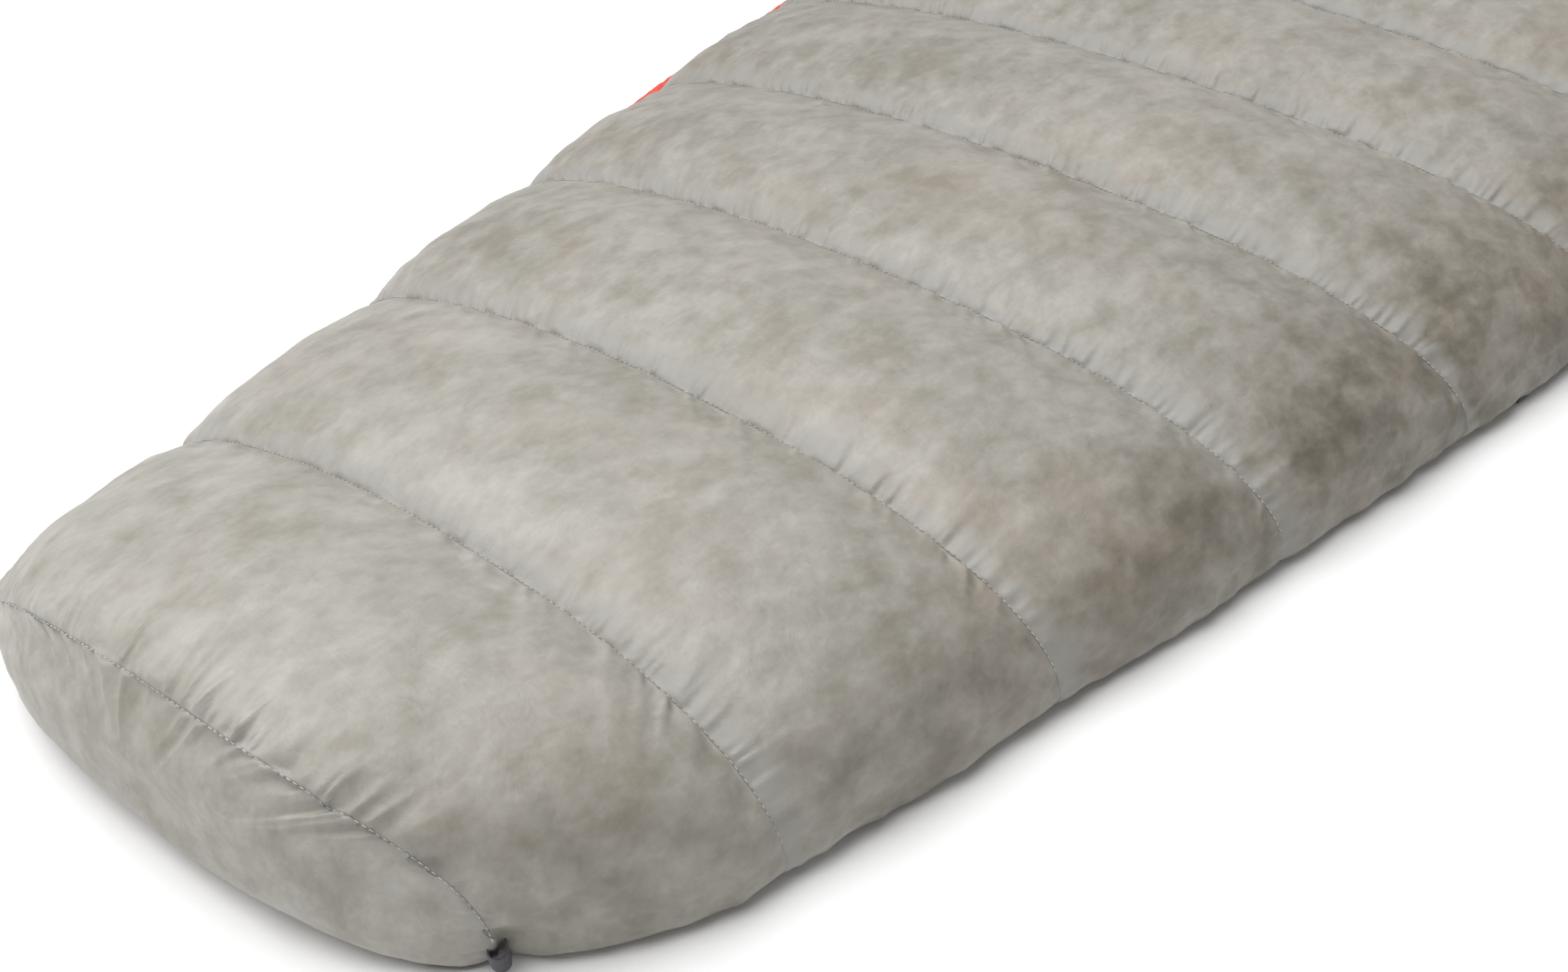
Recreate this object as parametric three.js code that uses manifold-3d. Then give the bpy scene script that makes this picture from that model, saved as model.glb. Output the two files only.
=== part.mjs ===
// A down camp quilt, lying folded in half on the ground: a closed footbox at -Y, an open mouth at +Y.
// Top and bottom layers join along the right side and are open along the left from the footbox to the
// mouth. Millimetres, +Z up. A station is a distance from the foot tip towards the head.
import * as THREE from 'three';
import { mergeVertices } from 'three/addons/utils/BufferGeometryUtils.js';
import Module from 'manifold-3d';

const wasm = await Module();
wasm.setup();

// Chambers and seams. Seam k ends chamber k, and seam 0 is the foot panel's seam.
const CHAMBERS = 12;
const PITCH = 160;
const LENGTH = CHAMBERS * PITCH;
const FOLD_SEAM = 8;
const SEAM_GAP = 0.4;
const FOOT_GAP = 1.2;
const TOP_COLUMNS = 12;
const BOTTOM_COLUMNS = 12;

// Outline in plan.
const FOOT_HALF_WIDTH = 174.5;
const FLARE = 190;
const FLARE_RATE = 1.1636 / 1000;
const CORNER_INSET = { left: 24, right: 52 };
const CORNER_LENGTH = 140;

// Heights: the top layer is a dome over the side seam's level, and puffs up between its seams.
const SIDE_LEVEL = 15.2;
const FOOT_SEAM_HEIGHT = 86;
const BODY_SEAM_HEIGHT = 74;
const FOOTBOX_RISE = 14;
const FOOTBOX_RISE_LENGTH = 500;
const TOP_PUFF = 13;
const SIDE_PUFF = 9;
// Superellipse powers of the dome's section, across and up: the left side slopes, the right is fuller.
const LEFT_SECTION = { across: 1.9, up: 2.5 };
const RIGHT_SECTION = { across: 2.6, up: 2.4 };
const PUFF_POWER = 2.4;

// Layers, as depths below the outer face of the shell.
const FABRIC = 0.9;
const FILL_OUTER = 1.7;
const FILL_INNER = 17.7;
const LINING_OUTER = 18.5;
const LINING_INNER = 19.3;

// Bottom layer.
const BOTTOM_FILL_TOP = 13;
const BOTTOM_LINING_LOW = 13.8;
const BOTTOM_LINING_TOP = 14.6;
const PANEL_BOTTOM_POWER = 5;
// Its turned-up edge, as [inset from the side, height], for the shell's two faces and the down.
const SHELL_EDGE = [[0, 13.6], [1.6, 6.5], [5.5, 2.2], [12, 0]];
const SHELL_EDGE_INNER = [[0.9, 13.6], [2.5, 6.8], [6.1, 2.9], [12.3, 0.9]];
const FILL_EDGE = [[2.6, 9.5], [4.4, 6.6], [7.8, 4], [13, 1.7]];

// Foot panel.
const RING_TIP = 8;
const RING_SWEEP = { left: 16, right: 30 };
const PANEL_BULGE = 15;
const PANEL_CENTRE_HEIGHT = 38;
const PANEL_POWER = 2.4;

// The open left edge, with the zip along it.
const EDGE_OUT = 17;
const EDGE_START = 470;
const EDGE_FULL = 550;
const STRAIGHT_END = 990;
const COIL_HALF = 1.3;
const COIL_OUT = 5;
const COIL_HEIGHTS = { lower: 12.2, upper: 17.4 };
const TAPE_HALF = 0.4;
const TAPE_STEP = 0.3;
const LOWER_TAPE = { out: 1, height: 3 };
const UPPER_TAPE = { out: 1.3, height: 31 };
const ZIP_START = 510;
const ZIP_END = 1880;
const ZIP_STEP = 40;
const SLIDER_STATION = 978;
const PARTING = { from: 515, over: 50 };
const CLOSING = { to: 965, over: 65 };
const SLIDER_LENGTH = 12;
const PULLER_LENGTH = 26;

// Trim.
const HEM = 3;
const WEBBING_WIDTH = 12;
const WEBBING_THICKNESS = 1.3;
const TAB_STATION = 1898;

const smooth = (x) => {
  const c = Math.min(1, Math.max(0, x));
  return c * c * (3 - 2 * c);
};
const lerp = (a, b, f) => a + (b - a) * f;
const signedPower = (x, power) => Math.sign(x) * Math.abs(x) ** power;

const fabric = (color, roughness) => new THREE.MeshStandardMaterial({ color, roughness, metalness: 0 });
const materials = {
  shell: fabric(0xaaa69e, 0.6),
  lining: fabric(0xee3c26, 0.6),
  mesh: fabric(0xd8d6d0, 0.8),
  down: fabric(0xe6e0d4, 0.95),
  webbing: fabric(0x3a3742, 0.8),
  tape: fabric(0x2c2b30, 0.75),
  zip: new THREE.MeshStandardMaterial({ color: 0x4a4b50, roughness: 0.35, metalness: 0.8 }),
  snap: new THREE.MeshStandardMaterial({ color: 0x35343a, roughness: 0.5, metalness: 0 }),
};

const quilt = new THREE.Group();

function add(name, geometry, material, parent = quilt) {
  const mesh = new THREE.Mesh(geometry, material);
  mesh.name = name;
  parent.add(mesh);
  return mesh;
}

// A closed slab: the unit box's u (left to right), v (foot to head) and t (inner to outer) put in place.
function drape(columns, rows, place) {
  const box = new THREE.BoxGeometry(1, 1, 1, columns, rows, 1);
  const position = box.attributes.position;
  for (let i = 0; i < position.count; i += 1) {
    const point = place(position.getX(i) + 0.5, position.getY(i) + 0.5, position.getZ(i) + 0.5);
    position.setXYZ(i, ...point);
  }
  // The inner face's quads are cut on the same diagonal as the outer face's, so nested slabs stay apart.
  const inner = box.groups[5];
  const index = box.index.array;
  for (let i = inner.start; i < inner.start + inner.count; i += 6) {
    const [a, b, d, , c] = index.slice(i, i + 6);
    index.set([a, b, c, a, c, d], i);
  }
  box.deleteAttribute('normal');
  box.deleteAttribute('uv');
  return mergeVertices(box, 1e-4);
}

const handOf = (side) => (side < 0 ? 'left' : 'right');

function halfWidth(station, side = 1) {
  const corner = Math.max(0, 1 - station / CORNER_LENGTH) ** 1.5;
  return FOOT_HALF_WIDTH + FLARE * Math.sin(station * FLARE_RATE) - CORNER_INSET[handOf(side)] * corner;
}

function seamHeight(q) {
  const rise = Math.max(0, 1 - Math.max(q, 1) * PITCH / FOOTBOX_RISE_LENGTH) ** 2;
  return lerp(FOOT_SEAM_HEIGHT, BODY_SEAM_HEIGHT + FOOTBOX_RISE * rise, Math.min(1, q));
}

// The foot panel's seam runs back towards the head at the corners.
const ringStation = (side) => RING_TIP + RING_SWEEP[handOf(side)] * Math.abs(side) ** 3;

// q counts chambers from the foot: whole numbers are seams. side is -1 at the left edge, 1 at the right.
function stationAt(q, side) {
  return q < 1 ? lerp(ringStation(side), PITCH, q) : q * PITCH;
}

// The station that sets the width, the same all the way across.
const widthStation = (q) => stationAt(q, 1);

const sectionOf = (across) => (across < 0 ? LEFT_SECTION : RIGHT_SECTION);

const puffAt = (q) => 1 - Math.abs(2 * (q - Math.floor(q)) - 1) ** PUFF_POWER;

// A point of the top layer, u from the left edge over the top to the right edge.
function domePoint(q, u, depth, puff) {
  const turn = Math.PI * (1 - u);
  const across = Math.cos(turn);
  const up = Math.max(0, Math.sin(turn));
  const side = signedPower(across, 2 / sectionOf(across).across);
  const lift = puff * puffAt(q) * smooth(up / 0.6);
  const x = (halfWidth(widthStation(q), across) - depth) * side + across * SIDE_PUFF * lift;
  const rise = (seamHeight(q) - depth - SIDE_LEVEL) * up ** (2 / sectionOf(across).up);
  return [x, stationAt(q, side), SIDE_LEVEL + rise + up * TOP_PUFF * lift];
}

// How far the bottom layer's left edge lies outside the middle line; straight where the slider runs.
function leftEdge(station) {
  if (station < EDGE_FULL) {
    return halfWidth(station, -1) + EDGE_OUT * smooth((station - EDGE_START) / (EDGE_FULL - EDGE_START));
  }
  if (station < STRAIGHT_END) {
    const share = (station - EDGE_FULL) / (STRAIGHT_END - EDGE_FULL);
    return EDGE_OUT + lerp(halfWidth(EDGE_FULL), halfWidth(STRAIGHT_END), share);
  }
  return EDGE_OUT + halfWidth(station);
}

// A point of the bottom layer's faces, flat but for the turned-up edges, which take their own columns.
function bottomPoint(q, u, edge) {
  const column = Math.round(u * BOTTOM_COLUMNS);
  const fromSide = Math.min(column, BOTTOM_COLUMNS - column);
  const sign = Math.sign(column - BOTTOM_COLUMNS / 2);
  const last = edge.length - 1;
  const [inset, height] = edge[Math.min(fromSide, last)];
  const inward = Math.max(0, fromSide - last) / (BOTTOM_COLUMNS / 2 - last);
  const station = widthStation(q);
  const reach = sign < 0 ? leftEdge(station) : halfWidth(station);
  const x = sign * (reach - inset) * (1 - inward);
  return [x, stationAt(q, x / reach), height];
}

// Skins, split at the seam where the head end folds over.
const gap = SEAM_GAP / PITCH;
const spans = [
  { part: 'foot', from: FOOT_GAP / PITCH, to: FOLD_SEAM - gap },
  { part: 'head', from: FOLD_SEAM + gap, to: CHAMBERS },
];
for (const { part, from, to } of spans) {
  const chambers = Math.round(to - from);
  const at = (v) => lerp(from, to, v);

  const shellPoint = (u, v, t) => domePoint(at(v), u, lerp(FABRIC, 0, t), 1);
  const shellTop = drape(TOP_COLUMNS, chambers * 4, shellPoint);
  add(`shell_top_${part}`, shellTop, materials.shell);

  const liningTop = drape(TOP_COLUMNS, chambers * 2, (u, v, t) => {
    return domePoint(at(v), u, lerp(LINING_INNER, LINING_OUTER, t), 0);
  });
  add(`lining_top_${part}`, liningTop, materials.lining);

  const shellBottom = drape(BOTTOM_COLUMNS, chambers * 2, (u, v, t) => {
    return bottomPoint(at(v), u, t < 0.5 ? SHELL_EDGE : SHELL_EDGE_INNER);
  });
  add(`shell_bottom_${part}`, shellBottom, materials.shell);

  // The lining shows on the bottom layer's left edge wherever that edge lies outside the top layer's.
  const liningBottom = drape(BOTTOM_COLUMNS, chambers * 2, (u, v, t) => {
    const side = 2 * u - 1;
    const station = widthStation(at(v));
    const out = smooth((station - EDGE_START) / (EDGE_FULL - EDGE_START));
    const left = lerp(halfWidth(station, -1) - LINING_OUTER, leftEdge(station) - FILL_OUTER, out);
    const reach = side < 0 ? left : halfWidth(station) - LINING_OUTER;
    return [reach * side, stationAt(at(v), side), lerp(BOTTOM_LINING_LOW, BOTTOM_LINING_TOP, t)];
  });
  add(`lining_bottom_${part}`, liningBottom, materials.lining);
}

// Down in each chamber of both layers, and the mesh walls between the top layer's chambers.
const FILL_GAP = 2 / PITCH;
for (let chamber = 1; chamber <= CHAMBERS; chamber += 1) {
  const label = String(chamber).padStart(2, '0');
  const at = (v) => lerp(chamber - 1 + FILL_GAP, chamber - FILL_GAP, v);
  const top = drape(TOP_COLUMNS, 4, (u, v, t) => domePoint(at(v), u, lerp(FILL_INNER, FILL_OUTER, t), t));
  add(`down_top_${label}`, top, materials.down);

  const bottom = drape(BOTTOM_COLUMNS, 2, (u, v, t) => {
    const [x, y, z] = bottomPoint(at(v), u, FILL_EDGE);
    return [x, y, lerp(z, BOTTOM_FILL_TOP, t)];
  });
  add(`down_bottom_${label}`, bottom, materials.down);
}
for (let seam = 1; seam < CHAMBERS; seam += 1) {
  const at = (v) => lerp(seam - gap, seam + gap, v);
  const place = (u, v, t) => {
    const [x, , z] = domePoint(seam, u, lerp(FILL_INNER, FILL_OUTER, t), 0);
    return [x, at(v) * PITCH, z];
  };
  add(`baffle_${String(seam).padStart(2, '0')}`, drape(TOP_COLUMNS, 1, place), materials.mesh);
}

// Foot panel: its outline is the top layer's dome above the side level and the bottom layer's below.
function ringOutline(angle, depth) {
  const across = Math.cos(angle);
  const up = Math.sin(angle);
  const width = halfWidth(ringStation(1), across) - depth;
  if (up >= 0) {
    const { across: plan, up: dome } = sectionOf(across);
    const rise = (FOOT_SEAM_HEIGHT - depth - SIDE_LEVEL) * up ** (2 / dome);
    return [width * signedPower(across, 2 / plan), SIDE_LEVEL + rise];
  }
  const drop = (SIDE_LEVEL - depth) * Math.abs(up) ** (2 / PANEL_BOTTOM_POWER);
  return [width * signedPower(across, 2 / PANEL_BOTTOM_POWER), SIDE_LEVEL - drop];
}

// A lathe whose rings take the panel's outline: profile points are [share of the rim, distance in front].
const PANEL_SIDES = 28;
const PANEL_RINGS = 6;
function panelBody(profile, depth) {
  const points = profile.map(([share, ahead]) => new THREE.Vector2(share, ahead));
  const lathe = new THREE.LatheGeometry(points, PANEL_SIDES);
  const position = lathe.attributes.position;
  for (let i = 0; i < position.count; i += 1) {
    const share = Math.hypot(position.getX(i), position.getZ(i));
    const angle = Math.atan2(position.getZ(i), position.getX(i));
    const [rimX, rimZ] = ringOutline(angle, depth);
    const x = rimX * share;
    const station = ringStation(x / halfWidth(ringStation(1), x)) - position.getY(i);
    position.setXYZ(i, x, station, lerp(PANEL_CENTRE_HEIGHT, rimZ, share));
  }
  lathe.deleteAttribute('normal');
  lathe.deleteAttribute('uv');
  return mergeVertices(lathe, 1e-4);
}

// The panel stands ahead of its seam, most in the middle; its layers lie one behind the other.
const PANEL_RIM = 3.4;
const PANEL_DOWN_BACK = 1;
const PANEL_LINING_FRONT = 0.1;
const PANEL_LINING_BACK = -0.5;
const shares = Array.from({ length: PANEL_RINGS + 1 }, (_, i) => i / PANEL_RINGS);
const levelFace = (ahead) => shares.map((share) => [share, ahead]);
const bulgedFace = (rim, middle) =>
  shares.map((share) => [share, lerp(middle, rim, share ** PANEL_POWER)]);
function addPanel(name, front, back, depth, material) {
  add(name, panelBody([...front, ...back.reverse()], depth), material);
}
const shellFront = bulgedFace(PANEL_RIM, PANEL_BULGE);
const shellBack = bulgedFace(PANEL_RIM - FABRIC, PANEL_BULGE - FABRIC);
addPanel('foot_panel_shell', shellFront, shellBack, 0, materials.shell);
const downFront = bulgedFace(PANEL_DOWN_BACK + 0.5, PANEL_BULGE - FILL_OUTER);
addPanel('foot_panel_down', downFront, levelFace(PANEL_DOWN_BACK), FILL_OUTER * 2, materials.down);
const liningFront = levelFace(PANEL_LINING_FRONT);
addPanel('foot_panel_lining', liningFront, levelFace(PANEL_LINING_BACK), LINING_OUTER, materials.lining);

// Bound hems close the two layers at the mouth.
const hemStation = (v) => LENGTH + 0.6 + HEM * v;
const hemTop = drape(TOP_COLUMNS, 1, (u, v, t) => {
  const [x, , z] = domePoint(CHAMBERS, u, lerp(LINING_INNER, 0, t), 0);
  return [x, hemStation(v), z];
});
add('neck_hem_top', hemTop, materials.tape);
const hemBottom = drape(BOTTOM_COLUMNS, 1, (u, v, t) => {
  const [x, , z] = bottomPoint(CHAMBERS, u, SHELL_EDGE);
  return [x, hemStation(v), t < 0.5 ? z : BOTTOM_LINING_TOP];
});
add('neck_hem_bottom', hemBottom, materials.tape);

// Zip: a tape with its coil along each left edge. It is open between its foot end and the slider.
function upperEdge(station) {
  const opened = smooth((station - PARTING.from) / PARTING.over);
  const parted = opened * smooth((CLOSING.to - station) / CLOSING.over);
  return lerp(leftEdge(station), halfWidth(station), parted);
}

function zipTape(from, to, coilEdge, tapeEdge, coilHeight, tape) {
  const rows = Math.round((to - from) / ZIP_STEP);
  const way = Math.sign(tape.height - coilHeight);
  const coilTop = coilHeight + way * COIL_HALF;
  const heights = [tape.height, coilTop + way * TAPE_STEP, coilTop, coilHeight - way * COIL_HALF];
  const halves = [TAPE_HALF, TAPE_HALF, COIL_HALF, COIL_HALF];
  return drape(3, rows, (u, v, t) => {
    const column = Math.round(3 * (way < 0 ? u : 1 - u));
    const station = lerp(from, to, v);
    const coil = coilEdge(station) + COIL_OUT;
    const middle = column === 0 ? tapeEdge(station) + tape.out : coil;
    return [-middle - lerp(-halves[column], halves[column], t), station, heights[column]];
  });
}

const fold = FOLD_SEAM * PITCH;
const zipSpans = [
  { part: 'foot', from: ZIP_START, to: fold - SEAM_GAP },
  { part: 'head', from: fold + SEAM_GAP, to: ZIP_END },
];
for (const { part, from, to } of zipSpans) {
  const lower = zipTape(from, to, leftEdge, leftEdge, COIL_HEIGHTS.lower, LOWER_TAPE);
  add(`zip_tape_lower_${part}`, lower, materials.tape);
  const upper = zipTape(from, to, upperEdge, halfWidth, COIL_HEIGHTS.upper, UPPER_TAPE);
  add(`zip_tape_upper_${part}`, upper, materials.tape);
}

function solid(geometry) {
  const plain = geometry.clone();
  plain.deleteAttribute('normal');
  plain.deleteAttribute('uv');
  const merged = mergeVertices(plain, 1e-4);
  const vertProperties = new Float32Array(merged.attributes.position.array);
  const triVerts = new Uint32Array(merged.index.array);
  return new wasm.Manifold(new wasm.Mesh({ numProp: 3, vertProperties, triVerts }));
}

function toGeometry(manifold) {
  const mesh = manifold.getMesh();
  const geometry = new THREE.BufferGeometry();
  geometry.setAttribute('position', new THREE.BufferAttribute(mesh.vertProperties, 3));
  geometry.setIndex(new THREE.BufferAttribute(mesh.triVerts, 1));
  return geometry;
}

function block([x0, x1], [y0, y1], [z0, z1]) {
  const box = new THREE.BoxGeometry(x1 - x0, y1 - y0, z1 - z0);
  return box.translate((x0 + x1) / 2, (y0 + y1) / 2, (z0 + z1) / 2);
}

function post(radius, [x, y], [z0, z1], sides = 16) {
  const cylinder = new THREE.CylinderGeometry(radius, radius, z1 - z0, sides);
  return cylinder.rotateX(Math.PI / 2).translate(x, y, (z0 + z1) / 2);
}

// The slider runs on the coils: plates on both faces, a web between the coils, and a bail for the puller.
const half = SLIDER_LENGTH / 2;
const bailAt = [-5.4, 0];
const slider = solid(block([-3.1, -1.9], [-half, half], [10.4, 18.9]))
  .add(solid(block([1.9, 3.1], [-half, half], [10.4, 15.5])))
  .add(solid(block([-2, 2], [-half, half], [14.1, 15.5])))
  .add(solid(block([-6.2, -3], [-1.2, 1.2], [11.2, 12.2])))
  .add(solid(block([-6.2, -3], [-1.2, 1.2], [17.1, 18.1])))
  .add(solid(post(0.7, bailAt, [11.5, 17.8], 12)));
const puller = solid(post(2.2, bailAt, [12.8, 16.5], 20))
  .add(solid(block([bailAt[0] - 0.6, bailAt[0] + 0.6], [-PULLER_LENGTH, -1.2], [12.8, 16.5])))
  .subtract(solid(post(1.2, bailAt, [12, 17.3], 20)));

const sliderPlace = new THREE.Group();
const edgeSlope = (halfWidth(STRAIGHT_END) - halfWidth(EDGE_FULL)) / (STRAIGHT_END - EDGE_FULL);
sliderPlace.position.set(-(leftEdge(SLIDER_STATION) + COIL_OUT), SLIDER_STATION, 0);
sliderPlace.rotation.z = Math.atan(edgeSlope);
quilt.add(sliderPlace);
add('zip_slider', toGeometry(slider), materials.zip, sliderPlace);
add('zip_puller', toGeometry(puller), materials.webbing, sliderPlace);

// Webbing loops at the foot corners, open upwards, for hanging the quilt.
const LOOP_OPENING = 6.4;
const LOOP_REACH = 15;
function footLoop() {
  const outer = LOOP_OPENING / 2 + WEBBING_THICKNESS;
  const inner = LOOP_OPENING / 2;
  const straight = LOOP_REACH - outer;
  const shape = new THREE.Shape();
  shape.moveTo(0, -outer);
  shape.lineTo(straight, -outer);
  shape.absarc(straight, 0, outer, -Math.PI / 2, Math.PI / 2, false);
  shape.lineTo(0, outer);
  shape.lineTo(0, inner);
  shape.lineTo(straight, inner);
  shape.absarc(straight, 0, inner, Math.PI / 2, -Math.PI / 2, true);
  shape.lineTo(0, -inner);
  shape.closePath();
  return new THREE.ExtrudeGeometry(shape, { depth: WEBBING_WIDTH, bevelEnabled: false, curveSegments: 6 });
}
const LOOP_HEIGHT = 2;
const footLoops = {
  right: { x: 152.5, station: 31.5, facing: -Math.PI / 4 },
  left: { x: -185, station: 62, facing: Math.PI },
};
for (const [side, at] of Object.entries(footLoops)) {
  const loop = add(`foot_loop_${side}`, footLoop(), materials.webbing);
  loop.position.set(at.x, at.station, LOOP_HEIGHT);
  loop.rotation.z = at.facing;
}

// A flat folded loop lies on the ground under the right edge, for the strap of a sleeping mat.
const MAT_LOOP_STATION = 700;
const MAT_LOOP_TUCK = 2;
const MAT_LOOP_REACH = 5.5;
const MAT_LOOP_SLIT = 1;
const MAT_LOOP_TURN = 0.13;
function matLoop() {
  const thick = 2 * WEBBING_THICKNESS + MAT_LOOP_SLIT;
  const bend = MAT_LOOP_REACH - thick / 2;
  const shape = new THREE.Shape();
  shape.moveTo(0, 0);
  shape.lineTo(bend, 0);
  shape.absarc(bend, thick / 2, thick / 2, -Math.PI / 2, Math.PI / 2, false);
  shape.lineTo(0, thick);
  shape.lineTo(0, thick - WEBBING_THICKNESS);
  shape.lineTo(bend, thick - WEBBING_THICKNESS);
  shape.absarc(bend, thick / 2, MAT_LOOP_SLIT / 2, Math.PI / 2, -Math.PI / 2, true);
  shape.lineTo(0, WEBBING_THICKNESS);
  shape.closePath();
  const settings = { depth: WEBBING_WIDTH, bevelEnabled: false, curveSegments: 5 };
  const extruded = new THREE.ExtrudeGeometry(shape, settings);
  return extruded.rotateX(Math.PI / 2).translate(0, WEBBING_WIDTH / 2, 0);
}
const matLoopRight = add('mat_loop_right', matLoop(), materials.webbing);
matLoopRight.position.set(halfWidth(MAT_LOOP_STATION) - MAT_LOOP_TUCK, MAT_LOOP_STATION, 0.2);
matLoopRight.rotation.z = -MAT_LOOP_TURN;

// Neck tab: snaps the top layer's left edge to the bottom layer's at the mouth. It hinges on its seam.
const TAB_WIDTH = 20;
const TAB_REACH = 19;
const TAB_HEIGHT = 20;
const STUD_OUT = 12;
const tabWidthAt = halfWidth(TAB_STATION);
const tabAcross = [-TAB_WIDTH / 2, TAB_WIDTH / 2];
const tabStrap = block([-TAB_REACH, -1.6], tabAcross, [TAB_HEIGHT - 0.6, TAB_HEIGHT + 0.6]);
const tabBody = solid(tabStrap)
  .add(solid(post(5.5, [-STUD_OUT, 0], [17.9, TAB_HEIGHT], 24)))
  .add(solid(post(4.5, [-STUD_OUT, 0], [TAB_HEIGHT, TAB_HEIGHT + 1.4], 24)));
const tab = add('neck_tab', toGeometry(tabBody), materials.webbing);
tab.position.set(-tabWidthAt, TAB_STATION, 0);

const studProfile = [[0, 15], [5.5, 15], [5.5, 16], [2.4, 16.2], [2.4, 17.2], [0, 17.4]];
const studLathe = new THREE.LatheGeometry(studProfile.map(([r, z]) => new THREE.Vector2(r, z)), 24);
const stud = add('neck_stud', studLathe.rotateX(Math.PI / 2), materials.snap);
stud.position.set(-tabWidthAt - STUD_OUT, TAB_STATION, 0);

// The frame's origin is the middle of the whole quilt's footprint, on the ground.
quilt.updateMatrixWorld(true);
const bounds = new THREE.Box3().setFromObject(quilt);
const middle = bounds.getCenter(new THREE.Vector3());
quilt.position.set(-middle.x, -middle.y, -bounds.min.z);

export default quilt;
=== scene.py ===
import math

import bmesh
import bpy
import numpy as np
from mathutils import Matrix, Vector


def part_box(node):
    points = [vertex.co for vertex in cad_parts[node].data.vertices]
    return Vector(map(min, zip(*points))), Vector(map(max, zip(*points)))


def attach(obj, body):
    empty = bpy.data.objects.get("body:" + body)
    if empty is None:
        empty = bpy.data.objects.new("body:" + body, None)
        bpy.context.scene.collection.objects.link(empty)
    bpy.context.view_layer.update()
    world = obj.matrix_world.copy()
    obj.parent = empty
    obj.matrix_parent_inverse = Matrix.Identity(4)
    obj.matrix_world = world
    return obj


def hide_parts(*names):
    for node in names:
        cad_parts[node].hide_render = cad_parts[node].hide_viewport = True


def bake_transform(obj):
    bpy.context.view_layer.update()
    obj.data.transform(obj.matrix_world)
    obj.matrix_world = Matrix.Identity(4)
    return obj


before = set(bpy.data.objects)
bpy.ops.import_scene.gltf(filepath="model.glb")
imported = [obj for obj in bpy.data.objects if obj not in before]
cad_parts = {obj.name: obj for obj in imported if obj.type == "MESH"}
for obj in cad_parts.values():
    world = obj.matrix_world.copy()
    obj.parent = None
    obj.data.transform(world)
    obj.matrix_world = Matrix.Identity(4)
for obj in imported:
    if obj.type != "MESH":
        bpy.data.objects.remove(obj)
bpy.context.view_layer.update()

# Lengths are in millimetres until place() puts them in the shared frame. PANEL_AHEAD and all that is
# computed from CAD boxes is in metres. A station is a distance from the foot tip towards the head, and q
# counts chambers, so whole numbers of q are seams.
PITCH = 160.0
CHAMBERS = 12
LENGTH = PITCH * CHAMBERS
FOLD_SEAM = 8
PANEL_AHEAD = 0.007
MIDDLE_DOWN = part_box("down_top_08")
CENTRE_X = (MIDDLE_DOWN[0].x + MIDDLE_DOWN[1].x) / 2
FOOT_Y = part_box("foot_panel_shell")[0].y + PANEL_AHEAD
BODIES = {"foot": "quilt_body", "head": "head_end"}


def place(points):
    points = np.asarray(points, float).reshape(-1, 3)
    return points / 1000 + np.array([CENTRE_X, FOOT_Y, 0.0])


# ---- camera
CAMERA_AZIMUTH = 38.8
CAMERA_ELEVATION = 37.05
CAMERA_DISTANCE = 0.9868
CAMERA_AIM = (68.0, 322.2, 44.0)
CAMERA_LENS = 45.1
CAMERA_SENSOR = 36
CAMERA_FAR = 50


def add_object(name, data):
    item = bpy.data.objects.new(name, data)
    bpy.context.scene.collection.objects.link(item)
    return item


def look_along(item, back):
    """Turns a camera or light so that back points away from what it faces."""
    item.rotation_euler = Vector(back).to_track_quat("Z", "Y").to_euler()


def add_camera():
    azimuth, elevation = math.radians(CAMERA_AZIMUTH), math.radians(CAMERA_ELEVATION)
    back = Vector((
        math.sin(azimuth) * math.cos(elevation),
        -math.cos(azimuth) * math.cos(elevation),
        math.sin(elevation),
    ))
    data = bpy.data.cameras.new("camera")
    data.lens = CAMERA_LENS
    data.sensor_width = CAMERA_SENSOR
    data.clip_end = CAMERA_FAR
    camera = add_object("camera", data)
    camera.location = Vector(place(CAMERA_AIM)[0]) + back * CAMERA_DISTANCE
    look_along(camera, back)
    bpy.context.scene.camera = camera


add_camera()


# ---- noise and small maths
HASH_X = 374761393
HASH_Y = 668265263
HASH_SEED = 974634777
HASH_MIX = 1274126177
HASH_MASK = 0xFFFFFFFF
OCTAVE_SEED = 17
RIDGE_POWER = 0.8


def smooth(x):
    x = np.clip(x, 0.0, 1.0)
    return x * x * (3 - 2 * x)


def signed_power(x, power):
    return np.sign(x) * np.abs(x) ** power


def lattice(ix, iy, seed):
    """A fixed value from -1 to 1 for each whole-number point."""
    h = (ix.astype(np.int64) * HASH_X + iy.astype(np.int64) * HASH_Y + seed * HASH_SEED) & HASH_MASK
    h = ((h ^ (h >> 13)) * HASH_MIX) & HASH_MASK
    return ((h ^ (h >> 16)) & 0xFFFF) / 32767.5 - 1


def noise(x, y, seed):
    """Smooth value noise from -1 to 1."""
    x, y = np.broadcast_arrays(np.asarray(x, float), np.asarray(y, float))
    ix, iy = np.floor(x), np.floor(y)
    fx, fy = smooth(x - ix), smooth(y - iy)
    low = lattice(ix, iy, seed) * (1 - fx) + lattice(ix + 1, iy, seed) * fx
    high = lattice(ix, iy + 1, seed) * (1 - fx) + lattice(ix + 1, iy + 1, seed) * fx
    return low * (1 - fy) + high * fy


def layered(x, y, seed, octaves=3):
    total = 0.0
    for i in range(octaves):
        total = total + noise(x * 2 ** i, y * 2 ** i, seed + OCTAVE_SEED * i) / 2 ** i
    return total


def ridge(x, y, seed):
    """Creased noise: sharp ridges at 1, broad hollows towards -1."""
    return 1 - 2 * np.abs(noise(x, y, seed)) ** RIDGE_POWER


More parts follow.
